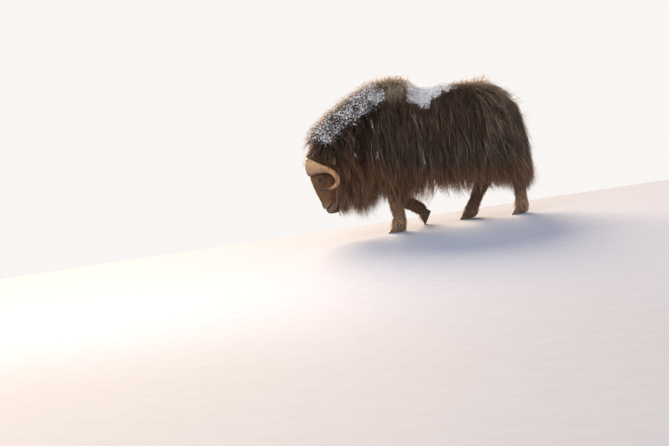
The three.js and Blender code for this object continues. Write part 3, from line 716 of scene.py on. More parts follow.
def grooveAt(p):  # the groove between the mane and the shoulder: the coat dips there, and the hairs over it are darkened as painted shade
    line = [[-0.225, 1.260], [-0.330, 1.080], [-0.470, 0.830], [-0.490, 0.660]]
    return bump(awayFrom(line, p[:, 0], p[:, 2]), 0, 0.042) * ramp(np.abs(p[:, 1]), 0.06, 0.12)


footRows = np.array([  # x, height of the coat's tips
    [-940, 800], [-860, 600], [-700, 240], [-620, 185], [-553, 167], [-475, 233], [-424, 305], [-340, 300],
    [-260, 265], [-180, 262], [-60, 235], [60, 285], [280, 250], [540, 225], [720, 185], [860, 190],
    [950, 205], [980, 290]]).T / 1000


def nearestGuide(p, guides):
    tree = KDTree(len(guides))
    for i, at in enumerate(guides.tolist()):
        tree.insert(at, i)
    tree.balance()
    return np.array([tree.find(at)[1] for at in p.tolist()])


boxLow, boxHigh = (np.array(corner) - shift for corner in cadBox)
boxSpare = 0.024 * (boxHigh - boxLow) + 0.006


def keptIn(p):  # drawn in smoothly where it would pass the part's box by more than a little
    soft = 0.02
    for corner, way in ((boxHigh, 1), (-boxLow, -1)):
        edge = corner + boxSpare - soft
        over = p * way - edge
        p = np.where(over > 0, way * (edge + soft * np.tanh(over / (1.5 * soft))), p)
    return p


def offHorns(path):  # which hairs keep out of the horns along their whole length
    x, y, z = path[..., 0], np.abs(path[..., 1]), path[..., 2]
    near = (x < -0.68) & (z < 0.78) & (z > 0.43) & (y > 0.02)
    hit = np.zeros(near.shape, bool)
    hit[near] = nearestOn(hornSource, path[near])[2] < 0.006
    return ~hit.any(1)


patchSize = 0.003  # width of one tuft or crumb on the map


def mapAt(roots, local):  # a small patch for each root, on a sheet wrapped round the body
    x, y, z = roots.T
    base = np.stack([(x + 1.0) / 2.02, np.arctan2(y, z - 0.70) / (2 * math.pi) + 0.5], 1)
    return (base[:, None] * 0.99 + local[None] * patchSize).reshape(-1, 2)


def coatMesh(name, verts, faces, uv, material):
    mesh = bpy.data.meshes.new(name)
    mesh.vertices.add(len(verts))
    mesh.vertices.foreach_set("co", (verts + shift).astype(np.float32).ravel())
    mesh.loops.add(faces.size)
    mesh.loops.foreach_set("vertex_index", faces.astype(np.int32).ravel())
    mesh.polygons.add(len(faces))
    mesh.polygons.foreach_set("loop_start", np.arange(0, faces.size, 3, dtype=np.int32))
    mesh.polygons.foreach_set("loop_total", np.full(len(faces), 3, np.int32))
    mesh.update(calc_edges=True)
    mesh.shade_smooth()
    layer = mesh.uv_layers.new(name="OFBake")
    layer.data.foreach_set("uv", uv[faces.ravel()].astype(np.float32).ravel())
    mesh.materials.append(material)
    piece = bpy.data.objects.new(name, mesh)
    bpy.context.collection.objects.link(piece)
    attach(piece, "root")
    print(name, len(faces), "triangles")
    return mesh


# What a piece of hair has where its own look doesn't say otherwise. Steps and rise belong to the march over the
# skin, clump and perLock to its locks, wild and stray to loose hairs, tint, streaks and tips to its colour.
usualHair = {
    "points": 5, "steps": 9, "sink": 0.005, "curl": 0.10, "wander": 0.10, "free": -0.15, "rise": 1.5,
    "spread": (5, 1.6), "layer": (0.35, 1.05), "wave": 0.003, "turns": 1.6, "wild": 0.06, "stray": 0.006,
    "roll": 0.5, "flat": 0.42, "room": None, "lowest": None,
    "tint": 0.0, "streaks": 0.03, "streakLocks": 0.0, "faded": (0.2, 0.6), "tips": 0.0, "frost": 0.0,
}


def valueAt(given, p):  # a look's value: one number, or a function of the place
    return given(p) if callable(given) else np.full(len(p), given)


def hairPaths(source, look, lie, chances, seed, rng):  # the middle line of every hair, out of its guide's
    count, steps = look["count"], look["steps"]
    guideCount = max(int(count / look["perLock"]), 8)
    guideRoots, guideNormals = rootsOn(source, guideCount, chances, seed)
    depth = valueAt(look["lift"], guideRoots) * rng.uniform(0.85, 1.08, guideCount)
    length = valueAt(look["length"], guideRoots) * rng.uniform(0.85, 1.15, guideCount)
    if look["room"]:
        length = np.minimum(length, np.maximum(look["room"](guideRoots, rng), 0.03))
    paths, ups = marched(source, guideRoots, guideNormals, lie, length, depth, look, seed + 1)

    roots, _ = rootsOn(source, count, chances, seed + 2)
    guide = nearestGuide(roots, guideRoots)
    reach = rng.beta(*look["spread"], count)
    t = np.linspace(0, 1, look["points"])
    place = np.clip(t[None] * reach[:, None], 0, 1) * steps
    low = np.minimum(place.astype(int), steps - 1)
    f = (place - low)[..., None]
    rows = np.arange(count)[:, None]
    path, up = (own[guide][rows, low] * (1 - f) + own[guide][rows, low + 1] * f for own in (paths, ups))
    up = unit(up)
    layer = rng.uniform(*look["layer"], count)
    drop = (valueAt(look["lift"], roots) * (1 - layer))[:, None] * np.minimum(t * 1.5, 1)[None]
    path = path - up * drop[..., None]
    clump = np.clip(look["clump"] * rng.uniform(0.75, 1.15, count), 0, 0.97)
    path = path + (roots - guideRoots[guide])[:, None] * (1 - clump[:, None] * ease(t * 1.15)[None])[..., None]
    sideways = unit(np.cross(unit(np.gradient(path, axis=1)), up))
    phase = rng.uniform(0, 2 * math.pi, (count, 2))
    turns = look["turns"] * rng.uniform(0.6, 1.4, (count, 1)) * 2 * math.pi * t[None]
    swing = look["wave"] * rng.uniform(0.3, 1.4, (count, 1)) * (t ** 0.8)[None]
    path = path + sideways * (swing * np.sin(phase[:, :1] + turns))[..., None]
    path = path + up * (0.6 * swing * np.sin(phase[:, 1:] + turns))[..., None]
    wild = 1 + 2.2 * (rng.uniform(0, 1, count) < look["wild"])
    stray = rng.normal(0, look["stray"], (count, 3)) * wild[:, None]
    path = path + stray[:, None] * (t ** 1.5)[None, :, None]
    if look["lowest"] is not None:
        path[..., 2] = np.maximum(path[..., 2], look["lowest"])
    free = offHorns(path) & offHorns((path[:, 1:] + path[:, :-1]) / 2)
    return path[free], up[free], roots[free], guide[free], guideCount


def bladeFaces(points):  # one hair's triangles: a foot, three strips and a tip
    last = 3 * (points - 2)
    faces = [[0, 2, 1]]
    for r in range(points - 2):
        for k in range(3):
            a, b = 3 * r + k, 3 * r + (k + 1) % 3
            faces += [[a, b, b + 3], [a, b + 3, a + 3]]
    return np.array(faces + [[last + k, last + (k + 1) % 3, last + 3] for k in range(3)])


def hairPiece(name, source, look, lie, weight, seed, tone="coat"):
    rng = np.random.default_rng(seed)
    look = {**usualHair, **look}
    path, up, roots, guide, guideCount = hairPaths(source, look, lie, chancesOn(source, weight), seed, rng)
    count, points = path.shape[:2]
    t = np.linspace(0, 1, points)
    along = unit(np.gradient(path, axis=1))
    roll = rng.normal(0, look["roll"], (count, 1, 1))
    sideways = unit(np.cross(along, up))
    sideways = unit(sideways * np.cos(roll) + np.cross(along, sideways) * np.sin(roll))
    ahead = np.cross(sideways, along)
    wide = look["wide"] * rng.uniform(0.7, 1.3, (count, 1))
    taper = np.maximum(np.minimum(0.6 + t * 3, 1) * (1 - t ** 2.2), 0)
    half = (wide / 2 * taper[None])[..., None]
    tall = half * look["flat"]
    ring = np.stack([path + sideways * half - ahead * tall * 0.5, path + ahead * tall,
                     path - sideways * half - ahead * tall * 0.5], 2)
    verts = keptIn(np.concatenate([ring[:, :-1].reshape(count, -1, 3), path[:, -1:]], 1))
    per = verts.shape[1]
    verts = verts.reshape(-1, 3)
    faces = (bladeFaces(points)[None] + np.arange(count)[:, None, None] * per).reshape(-1, 3)
    local = np.stack([np.tile([0.0, 0.5, 1.0], points - 1), np.repeat(t[:-1], 3)], 1)
    uv = mapAt(roots, np.concatenate([local, [[0.5, 1.0]]]))
    mesh = coatMesh(name, verts, faces, uv, hairMaterials[tone])

    alongs = np.tile(np.concatenate([np.repeat(t[:-1], 3), [1.0]]), count)
    marks = marksAt(verts)
    lockTint = rng.uniform(0, 1, guideCount)[guide]
    tint = np.clip(0.5 * rng.uniform(0, 1, count) + 0.5 * lockTint + look["tint"], 0, 1)
    streak = (rng.uniform(0, 1, guideCount) < look["streakLocks"])[guide] & (rng.uniform(0, 1, count) < 0.6)
    streak = np.maximum(rng.uniform(0, 1, count) < look["streaks"], streak)
    streak = streak * rng.uniform(*look["faded"], count)
    # pale holds faded hair and streaks, and the painted rim light and painted haze light of marksAt
    pale = np.clip(marks["pale"] * np.repeat(rng.uniform(0.4, 1.2, count), per) + np.repeat(streak, per), 0, 1)
    frost = marks["frost"] * (0.45 + 0.55 * ramp(alongs, 0.10, 0.5)) + look["frost"]
    setFloat(mesh, "along", alongs)
    # hairs over the groove between the mane and the shoulder are darkened: painted shade
    setFloat(mesh, "tint", np.clip(np.repeat(tint, per) - 1.1 * grooveAt(verts), -0.25, 1))
    setFloat(mesh, "pale", np.clip(pale + look["tips"] * ramp(alongs, 0.72, 1.0), 0, 1))
    # painted haze light low on the body
    setFloat(mesh, "warm", marks["warm"])
    setFloat(mesh, "frost", np.clip(frost, 0, 1.3))


# The camera stands level with the animal's shoulder, a little above it, and is rolled as the photograph is
cameraLook = {"target": [-0.802, 0.0, 0.146], "away": 25.0, "rise": 4.0, "roll": 8.5, "lens": 152.8}


def addCamera():
    look = cameraLook
    camera = bpy.data.objects.new("camera", bpy.data.cameras.new("camera"))
    camera.data.lens, camera.data.clip_end = look["lens"], 200
    rise, roll = math.radians(look["rise"]), math.radians(look["roll"])
    forward = np.array([0, math.cos(rise), -math.sin(rise)])
    right, up = np.array([1.0, 0, 0]), np.array([0, math.sin(rise), math.cos(rise)])
    matrix = np.eye(4)
    matrix[:3, 0] = right * math.cos(roll) - up * math.sin(roll)
    matrix[:3, 1] = right * math.sin(roll) + up * math.cos(roll)
    matrix[:3, 2] = -forward
    matrix[:3, 3] = np.array(look["target"]) + shift - forward * look["away"]
    camera.matrix_world = Matrix(matrix.tolist())
    bpy.context.collection.objects.link(camera)
    bpy.context.scene.camera = camera


addCamera()


# Skin: dark where the coat covers it, and bare on the nose pad, the lips and the lids

def nearEye(p, reach):
    return 1 - ramp(np.linalg.norm(toRight(p) - eyeAt, axis=1), reach * 0.86, reach)


def bareAt(p):
    x, y, z = p[:, 0], np.abs(p[:, 1]), p[:, 2]
    pad = ramp(-x, 0.846, 0.856) * (1 - ramp(y, 0.030, 0.042)) \
        * ramp(z, 0.262, 0.272) * (1 - ramp(z, 0.326, 0.338))
    nose = bump(np.hypot(y - 0.034, z - 0.312), 0, 0.017) * ramp(-x, 0.83, 0.85) * 1.6
    lips = bump(awayFrom(headLook["mouth"], x, z), 0, 0.0075) * ramp(-x, 0.78, 0.80) * 1.3
    return np.clip(np.maximum.reduce([pad, nose, lips, nearEye(p, 0.0245)]), 0, 1)


skinTones = [  # where it goes, its share there, dark and light
    ("head", 1.0, linear(78, 54, 38), linear(144, 103, 73)),
    ("leg", 1.0, linear(76, 58, 46), linear(138, 108, 84)),
    ("muzzle", 0.8, linear(112, 92, 76), linear(180, 158, 138)),
]


def makeSkin():
    at = pointsOf(skin.data) - shift
    marks = {**marksAt(at), "bare": bareAt(at)}
    for name in ("pale", "frost", "leg", "muzzle", "head", "bare"):
        setFloat(skin.data, name, marks[name])
    material, tree = newMaterial("skin")
    where, bare = placeOf(tree), attribute(tree, "bare")
    long = put(tree, "ShaderNodeMapping", {"Vector": where, "Scale": (1.0, 1.0, 0.12)}).outputs[0]
    strands = noise(tree, long, 420, 3, 0.6)
    fur = blend(tree, strands, linear(24, 17, 14), linear(58, 43, 34))
    # the pale mark also brings the painted rim light and painted haze light onto the skin
    fur = blend(tree, attribute(tree, "pale"), fur, linear(120, 98, 80))
    for mark, share, dark, light in skinTones:
        fur = blend(tree, times(tree, attribute(tree, mark), share), fur, blend(tree, strands, dark, light))
    hide = blend(tree, noise(tree, where, 16, 4), linear(30, 24, 23), linear(66, 54, 50))
    cells = put(tree, "ShaderNodeTexVoronoi", {"Vector": where, "Scale": 520.0}).outputs["Distance"]
    shaded(tree, blend(tree, bare, fur, hide), ranged(tree, bare, 0.2, 1.0, (0.85, 0.55)),
           bumped(tree, blend(tree, bare, strands, cells), 0.5, 0.0012), {"Specular IOR Level": 0.35})
    skin.data.materials.clear()
    skin.data.materials.append(material)
    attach(skin, "root")
    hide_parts("head", "neck", "shoulders", "barrel", "rump", "tail", "ear_left", "ear_right",
                *("leg_" + name for name in legRows))


makeSkin()


# Horns: x, y, z, half height, half thickness
print("horns")
hornRows = np.array([
    [-958, 5, 668, 82, 24], [-955, 70, 668, 80, 30], [-918, 134, 662, 62, 30], [-850, 176, 644, 38, 28],
    [-783, 200, 622, 26, 25], [-736, 218, 580, 23, 23], [-719, 235, 538, 21, 21], [-728, 254, 499, 18, 18],
    [-766, 272, 473, 14.5, 14.5], [-824, 287, 461, 10, 10], [-892, 300, 468, 3, 3],
]) / 1000
hornLook = {"rings": 190, "sides": 80, "fibre": 0.015, "fibres": (7, 11, 17, 26, 37), "rim": 0.030,
            "gap": 0.0042}  # half the gap between the two bosses
hornEnds = [0.002, 0.004, 0.007, 0.992, 0.994, 0.996, 0.998, 0.999]
hornPlaces = np.sort(np.concatenate([np.linspace(0, 1, hornLook["rings"] - len(hornEnds)), hornEnds]))


def hornSwell(t, angle):
    boss = 1 - ramp(t, 0.22, 0.42)
    rng = np.random.default_rng(5)
    grow = np.ones(len(angle))
    for k in hornLook["fibres"]:  # they run out along the boss
        grow += hornLook["fibre"] * (0.35 + boss) * rng.uniform(0.4, 1.0) * np.sin(
            k * angle + rng.uniform(0, 6) + 1.2 * math.sin(t * rng.uniform(5, 12)))
    rings = 0.014 * ramp(t, 0.16, 0.30) * (1 - ramp(t, 0.62, 0.80))
    grow += rings * math.sin(t * 150 + 1.5 * math.sin(t * 37))
    grow += hornLook["rim"] * boss * (bump(np.abs(np.cos(angle)), 1, 0.20) - 0.4)
    return grow * (1 - 0.30 * bump(t, 0, 0.045))


def hornMaterial():
    material, tree = newMaterial("horn")
    along, turn, where = attribute(tree, "along"), attribute(tree, "turn"), placeOf(tree)
    fibreAt = put(tree, "ShaderNodeCombineXYZ", {"X": times(tree, turn, 9.0), "Y": times(tree, along, 5.0)})
    fibres = noise(tree, fibreAt.outputs[0], 9, 5, 0.65)
    rings = maths(tree, "SINE", plus(tree, times(tree, along, 150.0), times(tree, noise(tree, where, 20), 3.0)))
    broad = noise(tree, where, 11, 4, 0.6)
    pits = ranged(tree, noise(tree, where, 140, 4, 0.65), 0.36, 0.50)
    colour = blend(tree, fibres, linear(138, 100, 72), linear(228, 188, 146))
    patches = ranged(tree, noise(tree, where, 26, 5, 0.6), 0.52, 0.75)
    colour = blend(tree, times(tree, patches, 0.45), colour, linear(108, 80, 58))
    outer = blend(tree, fibres, linear(142, 100, 70), linear(216, 168, 122))
    colour = blend(tree, ranged(tree, along, 0.20, 0.45), colour, outer)
    colour = blend(tree, ranged(tree, along, 0.74, 0.95), colour, linear(38, 30, 26))
    colour = blend(tree, times(tree, ranged(tree, broad, 0.50, 0.68), 0.50), colour, linear(112, 86, 70))
    colour = blend(tree, times(tree, ranged(tree, broad, 0.46, 0.30), 0.45), colour, linear(232, 208, 180))
    colour = blend(tree, times(tree, ranged(tree, fibres, 0.38, 0.25), 0.6), colour, linear(70, 52, 40))
    pitted = times(tree, maths(tree, "SUBTRACT", 1.0, pits), ranged(tree, along, 0.42, 0.20, (0.0, 0.55)))
    colour = blend(tree, pitted, colour, linear(92, 68, 52))
    height = plus(tree, fibres, times(tree, pits, ranged(tree, along, 0.42, 0.20, (0.0, 0.6))))
    height = plus(tree, height, times(tree, times(tree, rings, ranged(tree, along, 0.12, 0.3)), 0.10))
    shaded(tree, colour, ranged(tree, along, 0.3, 0.95, (0.62, 0.34)), bumped(tree, height, 0.8, 0.0034),
           {"Specular IOR Level": 0.40})
    return material


horny = hornMaterial()
hornPieces = []
for word, side in (("left", -1), ("right", 1)):
    rings = tube(hornRows, [0, 0, 1], len(hornPlaces), hornLook["sides"], side, hornSwell, hornPlaces)
    rings[..., 1] = np.where(side * rings[..., 1] < hornLook["gap"], side * hornLook["gap"], rings[..., 1])
    horn = addLoft("horn" + word.title(), rings)
    setFloat(horn.data, "along", np.repeat(hornPlaces, hornLook["sides"]))
    turn = np.arange(hornLook["sides"]) / hornLook["sides"]
    setFloat(horn.data, "turn", np.tile(np.abs(turn * 2 - 1), len(hornPlaces)))
    horn.data.materials.append(horny)
    hornPieces.append(horn)
    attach(horn, "root")
    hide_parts("horn_" + word)


# Eyes: a dark brown iris round a level, oblong pupil
print("eyes")
eyeballLook = {"rings": 48, "sides": 64, "pupil": [0.30, 0.13], "iris": 0.66, "poles": 0.02}


def eyeMaterial():
    material, tree = newMaterial("eye")
    u, v = attribute(tree, "across"), attribute(tree, "tall")

    def powered(value, size, n):
        return maths(tree, "POWER", maths(tree, "ABSOLUTE", maths(tree, "DIVIDE", value, size)), n)
    wide, tall = eyeballLook["pupil"]
    rim = eyeballLook["iris"]
    pupil = maths(tree, "POWER", plus(tree, powered(u, wide, 4.0), powered(v, tall, 4.0)), 0.25)
    r = maths(tree, "SQRT", plus(tree, powered(u, 1.0, 2.0), powered(v, 1.0, 2.0)))
    iris = blend(tree, noise(tree, placeOf(tree), 260, 3), linear(26, 15, 9), linear(62, 38, 21))
    iris = blend(tree, ranged(tree, r, rim - 0.14, rim), iris, linear(18, 11, 8))
    colour = blend(tree, ranged(tree, pupil, 1.08, 0.92), iris, linear(8, 7, 9))
    colour = blend(tree, ranged(tree, r, rim, rim + 0.06), colour, linear(58, 43, 36))
    shaded(tree, colour, 0.07, None, {"Specular IOR Level": 0.42})
    return material


glossy = eyeMaterial()
for word, side in (("left", -1), ("right", 1)):
    out = eyeLook["out"]
    level = unit(across(np.array([-1.0, 0, 0]), out))
    standing = np.cross(out, level)
    polar = np.linspace(eyeballLook["poles"], math.pi - eyeballLook["poles"], eyeballLook["rings"])
    rings = np.array([[out * math.cos(a) + (level * math.cos(b) + standing * math.sin(b)) * math.sin(a)
                       for b in roundTurn(eyeballLook["sides"])] for a in polar])
    away = rings.reshape(-1, 3)
    radius = eyeRadius - 0.0012 + 0.0010 * ramp(away @ out, 0.74, 0.92)
    eye = addLoft("eye" + word.title(), ((eyeAt + away * radius[:, None]) * [1, side, 1]).reshape(rings.shape))
    wider = np.where(away @ out < 0, 2.0, 1.0)  # makes the iris and the pupil smaller on the back of the ball
    setFloat(eye.data, "across", (away @ level) * wider)
    setFloat(eye.data, "tall", (away @ standing) * wider)
    eye.data.materials.append(glossy)
    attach(eye, "root")
    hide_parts("eye_" + word)


# Claws: a stack of half round outlines that lean back from the toe, on a worn sole
print("claws")
foreClaw = {"length": 0.138, "width": 0.052, "height": 0.066, "lean": 0.034}
hindClaw = {"length": 0.122, "width": 0.046, "height": 0.062, "lean": 0.030}
feet = {
    "front_left": {"x": -0.352, "y": 0.190, "size": foreClaw, "pitch": 0, "heading": 4},
    "front_right": {"x": -0.010, "y": 0.200, "size": foreClaw, "pitch": 60, "heading": 0},
    "hind_left": {"x": 0.738, "y": 0.158, "size": hindClaw, "pitch": 0, "heading": 4},
    "hind_right": {"x": 0.294, "y": 0.158, "size": hindClaw, "pitch": 0, "heading": 4},
}
clawLook = {"levels": 22, "sides": 64, "round": 2.3, "shorter": 0.36, "narrower": 0.14, "inner": 0.72,
            "middle": 0.36, "split": 0.005, "worn": 0.006, "bands": 0.008}


def clawRings(name, place):
    foot, look, side = feet[name], clawLook, sideOf(name)
    size, half = foot["size"], foot["size"]["length"] / 2
    angle, walls = roundTurn(look["sides"]), look["levels"] - 4
    level = np.concatenate([[0.0, 0.012], np.linspace(0.04, 1, walls), [1.03, 1.04]])[:, None]
    edge = np.concatenate([[0.93, 0.985], np.ones(walls), [0.93, 0.80]])[:, None]
    bands = 1 + look["bands"] * np.sin(level * 42 + 0.8 * np.cos(angle)) * ramp(level, 0.05, 0.2)
    bulge = np.where(np.sin(angle) * place > 0, 1, look["inner"])
    x = half + size["lean"] * level \
        + half * (1 - look["shorter"] * level) * edge * bands * power(np.cos(angle), look["round"])
    y = place * (look["split"] + size["width"] * look["middle"]) + size["width"] / 2 \
        * (1 - look["narrower"] * level) * edge * bands * bulge * power(np.sin(angle), look["round"])
    z = np.repeat(size["height"] * level, look["sides"], 1)
    pitch, heading = math.radians(foot["pitch"]), math.radians(foot["heading"]) * side
    x, z = x * math.cos(pitch) - z * math.sin(pitch), x * math.sin(pitch) + z * math.cos(pitch)
    x, y = x * math.cos(heading) - y * math.sin(heading), x * math.sin(heading) + y * math.cos(heading)
    if foot["pitch"]:
        z = np.maximum(z - z.min() - look["worn"], 0)
    return np.stack([x + foot["x"], y + foot["y"] * side, z], 2), np.repeat(level[:, 0], look["sides"])


def clawMaterial():
    material, tree = newMaterial("claw")
    level, grain = attribute(tree, "level"), noise(tree, placeOf(tree), 90, 5, 0.6)
    bands = maths(tree, "SINE", plus(tree, times(tree, level, 60.0), times(tree, grain, 4.0)))
    colour = blend(tree, grain, linear(66, 50, 39), linear(122, 94, 72))
    colour = blend(tree, ranged(tree, level, 0.22, 0.0), colour, linear(104, 84, 68))
    height = plus(tree, times(tree, bands, 0.25), grain)
    shaded(tree, colour, ranged(tree, grain, 0.3, 0.7, (0.42, 0.66)), bumped(tree, height, 0.5, 0.0012))
    return material


horned = clawMaterial()
clawPieces = []
for name in feet:
    for word, place in (("inner", -sideOf(name)), ("outer", sideOf(name))):
        rings, level = clawRings(name, place)
        claw = addLoft("claw_%s_%s" % (name, word) + "_wall", rings)
        setFloat(claw.data, "level", level)
        claw.data.materials.append(horned)
        clawPieces.append(claw)
        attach(claw, "root")
        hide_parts("claw_%s_%s" % (name, word))


# The coat, a piece for each part of the body
print("coat")
hornSource = sourceOf(*hornPieces)
ground = sourceOf(skin)
headGround = sourceOf(skin, *hornPieces)
legGround = sourceOf(skin, *clawPieces)


def onEar(p):
    base, tip = earRows[1, :3], earRows[-1, :3]
    q = toRight(p)
    t = np.clip((q - base) @ (tip - base) / np.sum((tip - base) ** 2), 0, 1)
    away = np.linalg.norm(q - mix(base, tip, t[:, None]), axis=1)
    return (1 - ramp(away, 0.036, 0.044)) * ramp(q[:, 1], 0.145, 0.160)


def onTail(p):
    return ramp(p[:, 0], 0.872, 0.880) * (1 - ramp(np.abs(p[:, 1]), 0.03, 0.04)) * ramp(p[:, 2], 0.74, 0.76)


def high(p, low, top):
    return ramp(p[:, 2], low, top)


def behind(p, low, top):  # 0 in front of low, 1 behind top
    return ramp(p[:, 0], low, top)


def ahead(p, low, top):
    return 1 - behind(p, low, top)


def onBody(p):
    return (1 - inHead(p)) * high(p, 0.44, 0.46) * (1 - onTail(p)) * (1 - onEar(p))


def inMane(p):  # in front of the groove between the mane and the shoulder
    edge = np.interp(p[:, 2], [0.60, 0.811, 1.245, 1.40], [-0.50, -0.487, -0.237, -0.20])
    return ramp(edge - p[:, 0], -0.01, 0.01)


def onSide(p, side):
    return (p[:, 1] * side > 0).astype(float)


def reachFoot(spare, ragged):  # how long a hair may be before its tip passes the coat's lower edge
    def room(p, rng):
        return (p[:, 2] - np.interp(p[:, 0], *footRows) + spare + rng.uniform(-ragged, ragged, len(p))) * 1.04
    return room


def coatLift(share):  # how high the coat's tips stand over the skin
    def lift(p):
        x, z = p[:, 0], p[:, 2]
        more = 0.42 * ramp(-x, 0.72, 0.86) + 0.12 * ramp(-x, 0.30, 0.60) * ramp(z, 0.9, 1.1) \
            + 0.6 * bump(x, 0.620, 0.055) * ramp(z, 1.05, 1.12)
        t = np.interp(x, trunkRows[:, 0], np.linspace(0, 1, len(trunkRows)))
        return rowAt(trunkRows, t)[:, 5] * trunkLook["deep"] * share * (1 - 0.70 * grooveAt(p)) * (1 + more)
    return lift


neckHair = {
    "count": 6000, "perLock": 8, "lift": coatLift(1.0),
    "length": lambda p: mix(0.13, 0.25, 1 - high(p, 0.72, 1.02)), "clump": 0.45, "wave": 0.005, "turns": 2.0,
    "wide": 0.0036, "rise": 2.6, "curl": 0.22, "wander": 0.25, "stray": 0.009, "room": reachFoot(0.0, 0.03),
    "layer": (0.4, 1.28)}
humpHair = {
    "count": 4500, "perLock": 6, "lift": coatLift(1.0), "length": 0.14, "clump": 0.35, "wave": 0.007,
    "turns": 1.8, "wide": 0.0034, "rise": 2.4, "curl": 0.3, "wander": 0.25, "stray": 0.011,
    "layer": (0.4, 1.25)}
saddleHair = {
    "count": 3200, "points": 4, "perLock": 6, "lift": coatLift(0.92),
    "length": lambda p: mix(0.105, 0.15, behind(p, 0.5, 0.66)), "clump": 0.4, "wave": 0.005, "wide": 0.0040,
    "rise": 2.4, "curl": 0.3, "wander": 0.3, "stray": 0.008}
flankHair = {
    "count": 6100, "perLock": 8, "lift": coatLift(0.98), "length": lambda p: mix(0.44, 0.34, high(p, 0.7, 1.0)),
    "clump": 0.62, "wave": 0.0045, "turns": 2.0, "wide": 0.0040, "rise": 2.0, "room": reachFoot(0.0, 0.03),
    "streakLocks": 0.10, "streaks": 0.05, "faded": (0.15, 0.60)}
rumpHair = {
    "count": 5400, "perLock": 8, "lift": coatLift(1.0), "length": lambda p: mix(0.48, 0.38, high(p, 0.7, 1.0)),
    "clump": 0.62, "wave": 0.006, "turns": 2.0, "wide": 0.0040, "rise": 2.2, "curl": 0.18, "wander": 0.20,
    "stray": 0.013, "wild": 0.12, "room": reachFoot(0.0, 0.03), "layer": (0.4, 1.15),
    "streaks": 0.14, "streakLocks": 0.30, "faded": (0.60, 1.0), "tint": -0.22}
skirtHair = {
    "count": 2700, "perLock": 11, "lift": coatLift(0.60), "length": 0.46, "clump": 0.88, "wave": 0.009,
    "turns": 2.2, "wide": 0.0044, "rise": 2.0, "curl": 0.14, "wander": 0.12, "room": reachFoot(0.012, 0.045),
    "spread": (9, 1.2), "tips": 0.85}
throatHair = {
    "count": 3900, "perLock": 8, "lift": coatLift(0.75), "length": 0.38, "clump": 0.74, "wave": 0.008,
    "turns": 1.8, "wide": 0.0040, "rise": 1.8, "curl": 0.20, "wander": 0.2, "stray": 0.008,
    "room": reachFoot(0.040, 0.035), "spread": (9, 1.3), "tips": 0.75}
foreHair = {
    "count": 2800, "points": 4, "perLock": 7, "lift": lambda p: mix(0.036, 0.030, high(p, 0.80, 0.90)),
    "length": lambda p: mix(0.100, 0.145, behind(p, -0.90, -0.76)), "clump": 0.5, "wave": 0.006, "turns": 1.8,
    "wide": 0.0034, "rise": 1.7, "curl": 0.25, "wander": 0.25, "stray": 0.007, "spread": (5, 2)}
tailHair = {
    "count": 400, "perLock": 6, "lift": 0.022, "length": 0.17, "sink": 0.004, "clump": 0.6, "wave": 0.005,
    "wide": 0.0040}
fuzzHair = {  # fine loose hairs that soften the outline
    "count": 6000, "points": 4, "steps": 4, "perLock": 2, "lift": coatLift(1.12),
    "length": lambda p: mix(0.10, 0.07, high(p, 0.9, 1.1)), "sink": 0.0, "clump": 0.1, "wave": 0.004,
    "turns": 1.4, "wide": 0.0024, "rise": 6.0, "curl": 0.5, "wander": 0.3, "stray": 0.014, "wild": 0.10,
    "layer": (0.85, 1.25)}
wispHair = {  # single tufts that the frost has turned white, on the left side
    "count": 60, "perLock": 9, "lift": coatLift(1.22), "length": 0.105, "sink": 0.0, "clump": 0.86,
    "wave": 0.002, "wide": 0.0026, "rise": 6.0, "wander": 0.5, "stray": 0.003, "layer": (0.95, 1.1),
    "frost": 0.72}
wispRows = [[-0.345, 0.985], [-0.535, 0.760], [-0.322, 0.735], [0.045, 0.650], [0.735, 0.955]]  # x, z of roots


def clearOfHorns(p):  # 0 where the skin lies in a horn or close under one
    out = np.ones(len(p))
    near = np.flatnonzero((inHead(p) > 0) | ((p[:, 0] < -0.68) & (p[:, 2] > 0.5)))
    out[near] = nearestOn(hornSource, p[near])[2] > 0.010
    return out


def foreWeight(p, n):  # the crown above the horns, which hangs over their upper edge
    crown = inHead(p) * high(p, 0.715, 0.735) * (0.4 + ramp(-p[:, 0], 0.66, 0.80))
    neckFront = onBody(p) * ahead(p, -0.83, -0.79) * high(p, 0.76, 0.80)
    return np.maximum(crown, 0.7 * neckFront) * clearOfHorns(p)


def foreLie(p, n):
    lean = np.interp(p[:, 0], [-0.90, -0.75, -0.66], [-0.40, -0.20, 0.1])
    return unit(columns(p, lean, 0.30 * signOf(p[:, 1]), -0.80))


def throatWeight(p, n):
    jaw = inHead(p) * behind(p, -0.765, -0.70) * (1 - high(p, 0.62, 0.70))
    chest = onBody(p) * ahead(p, -0.42, -0.38) * (1 - high(p, 0.66, 0.74))
    return np.maximum(jaw, chest)


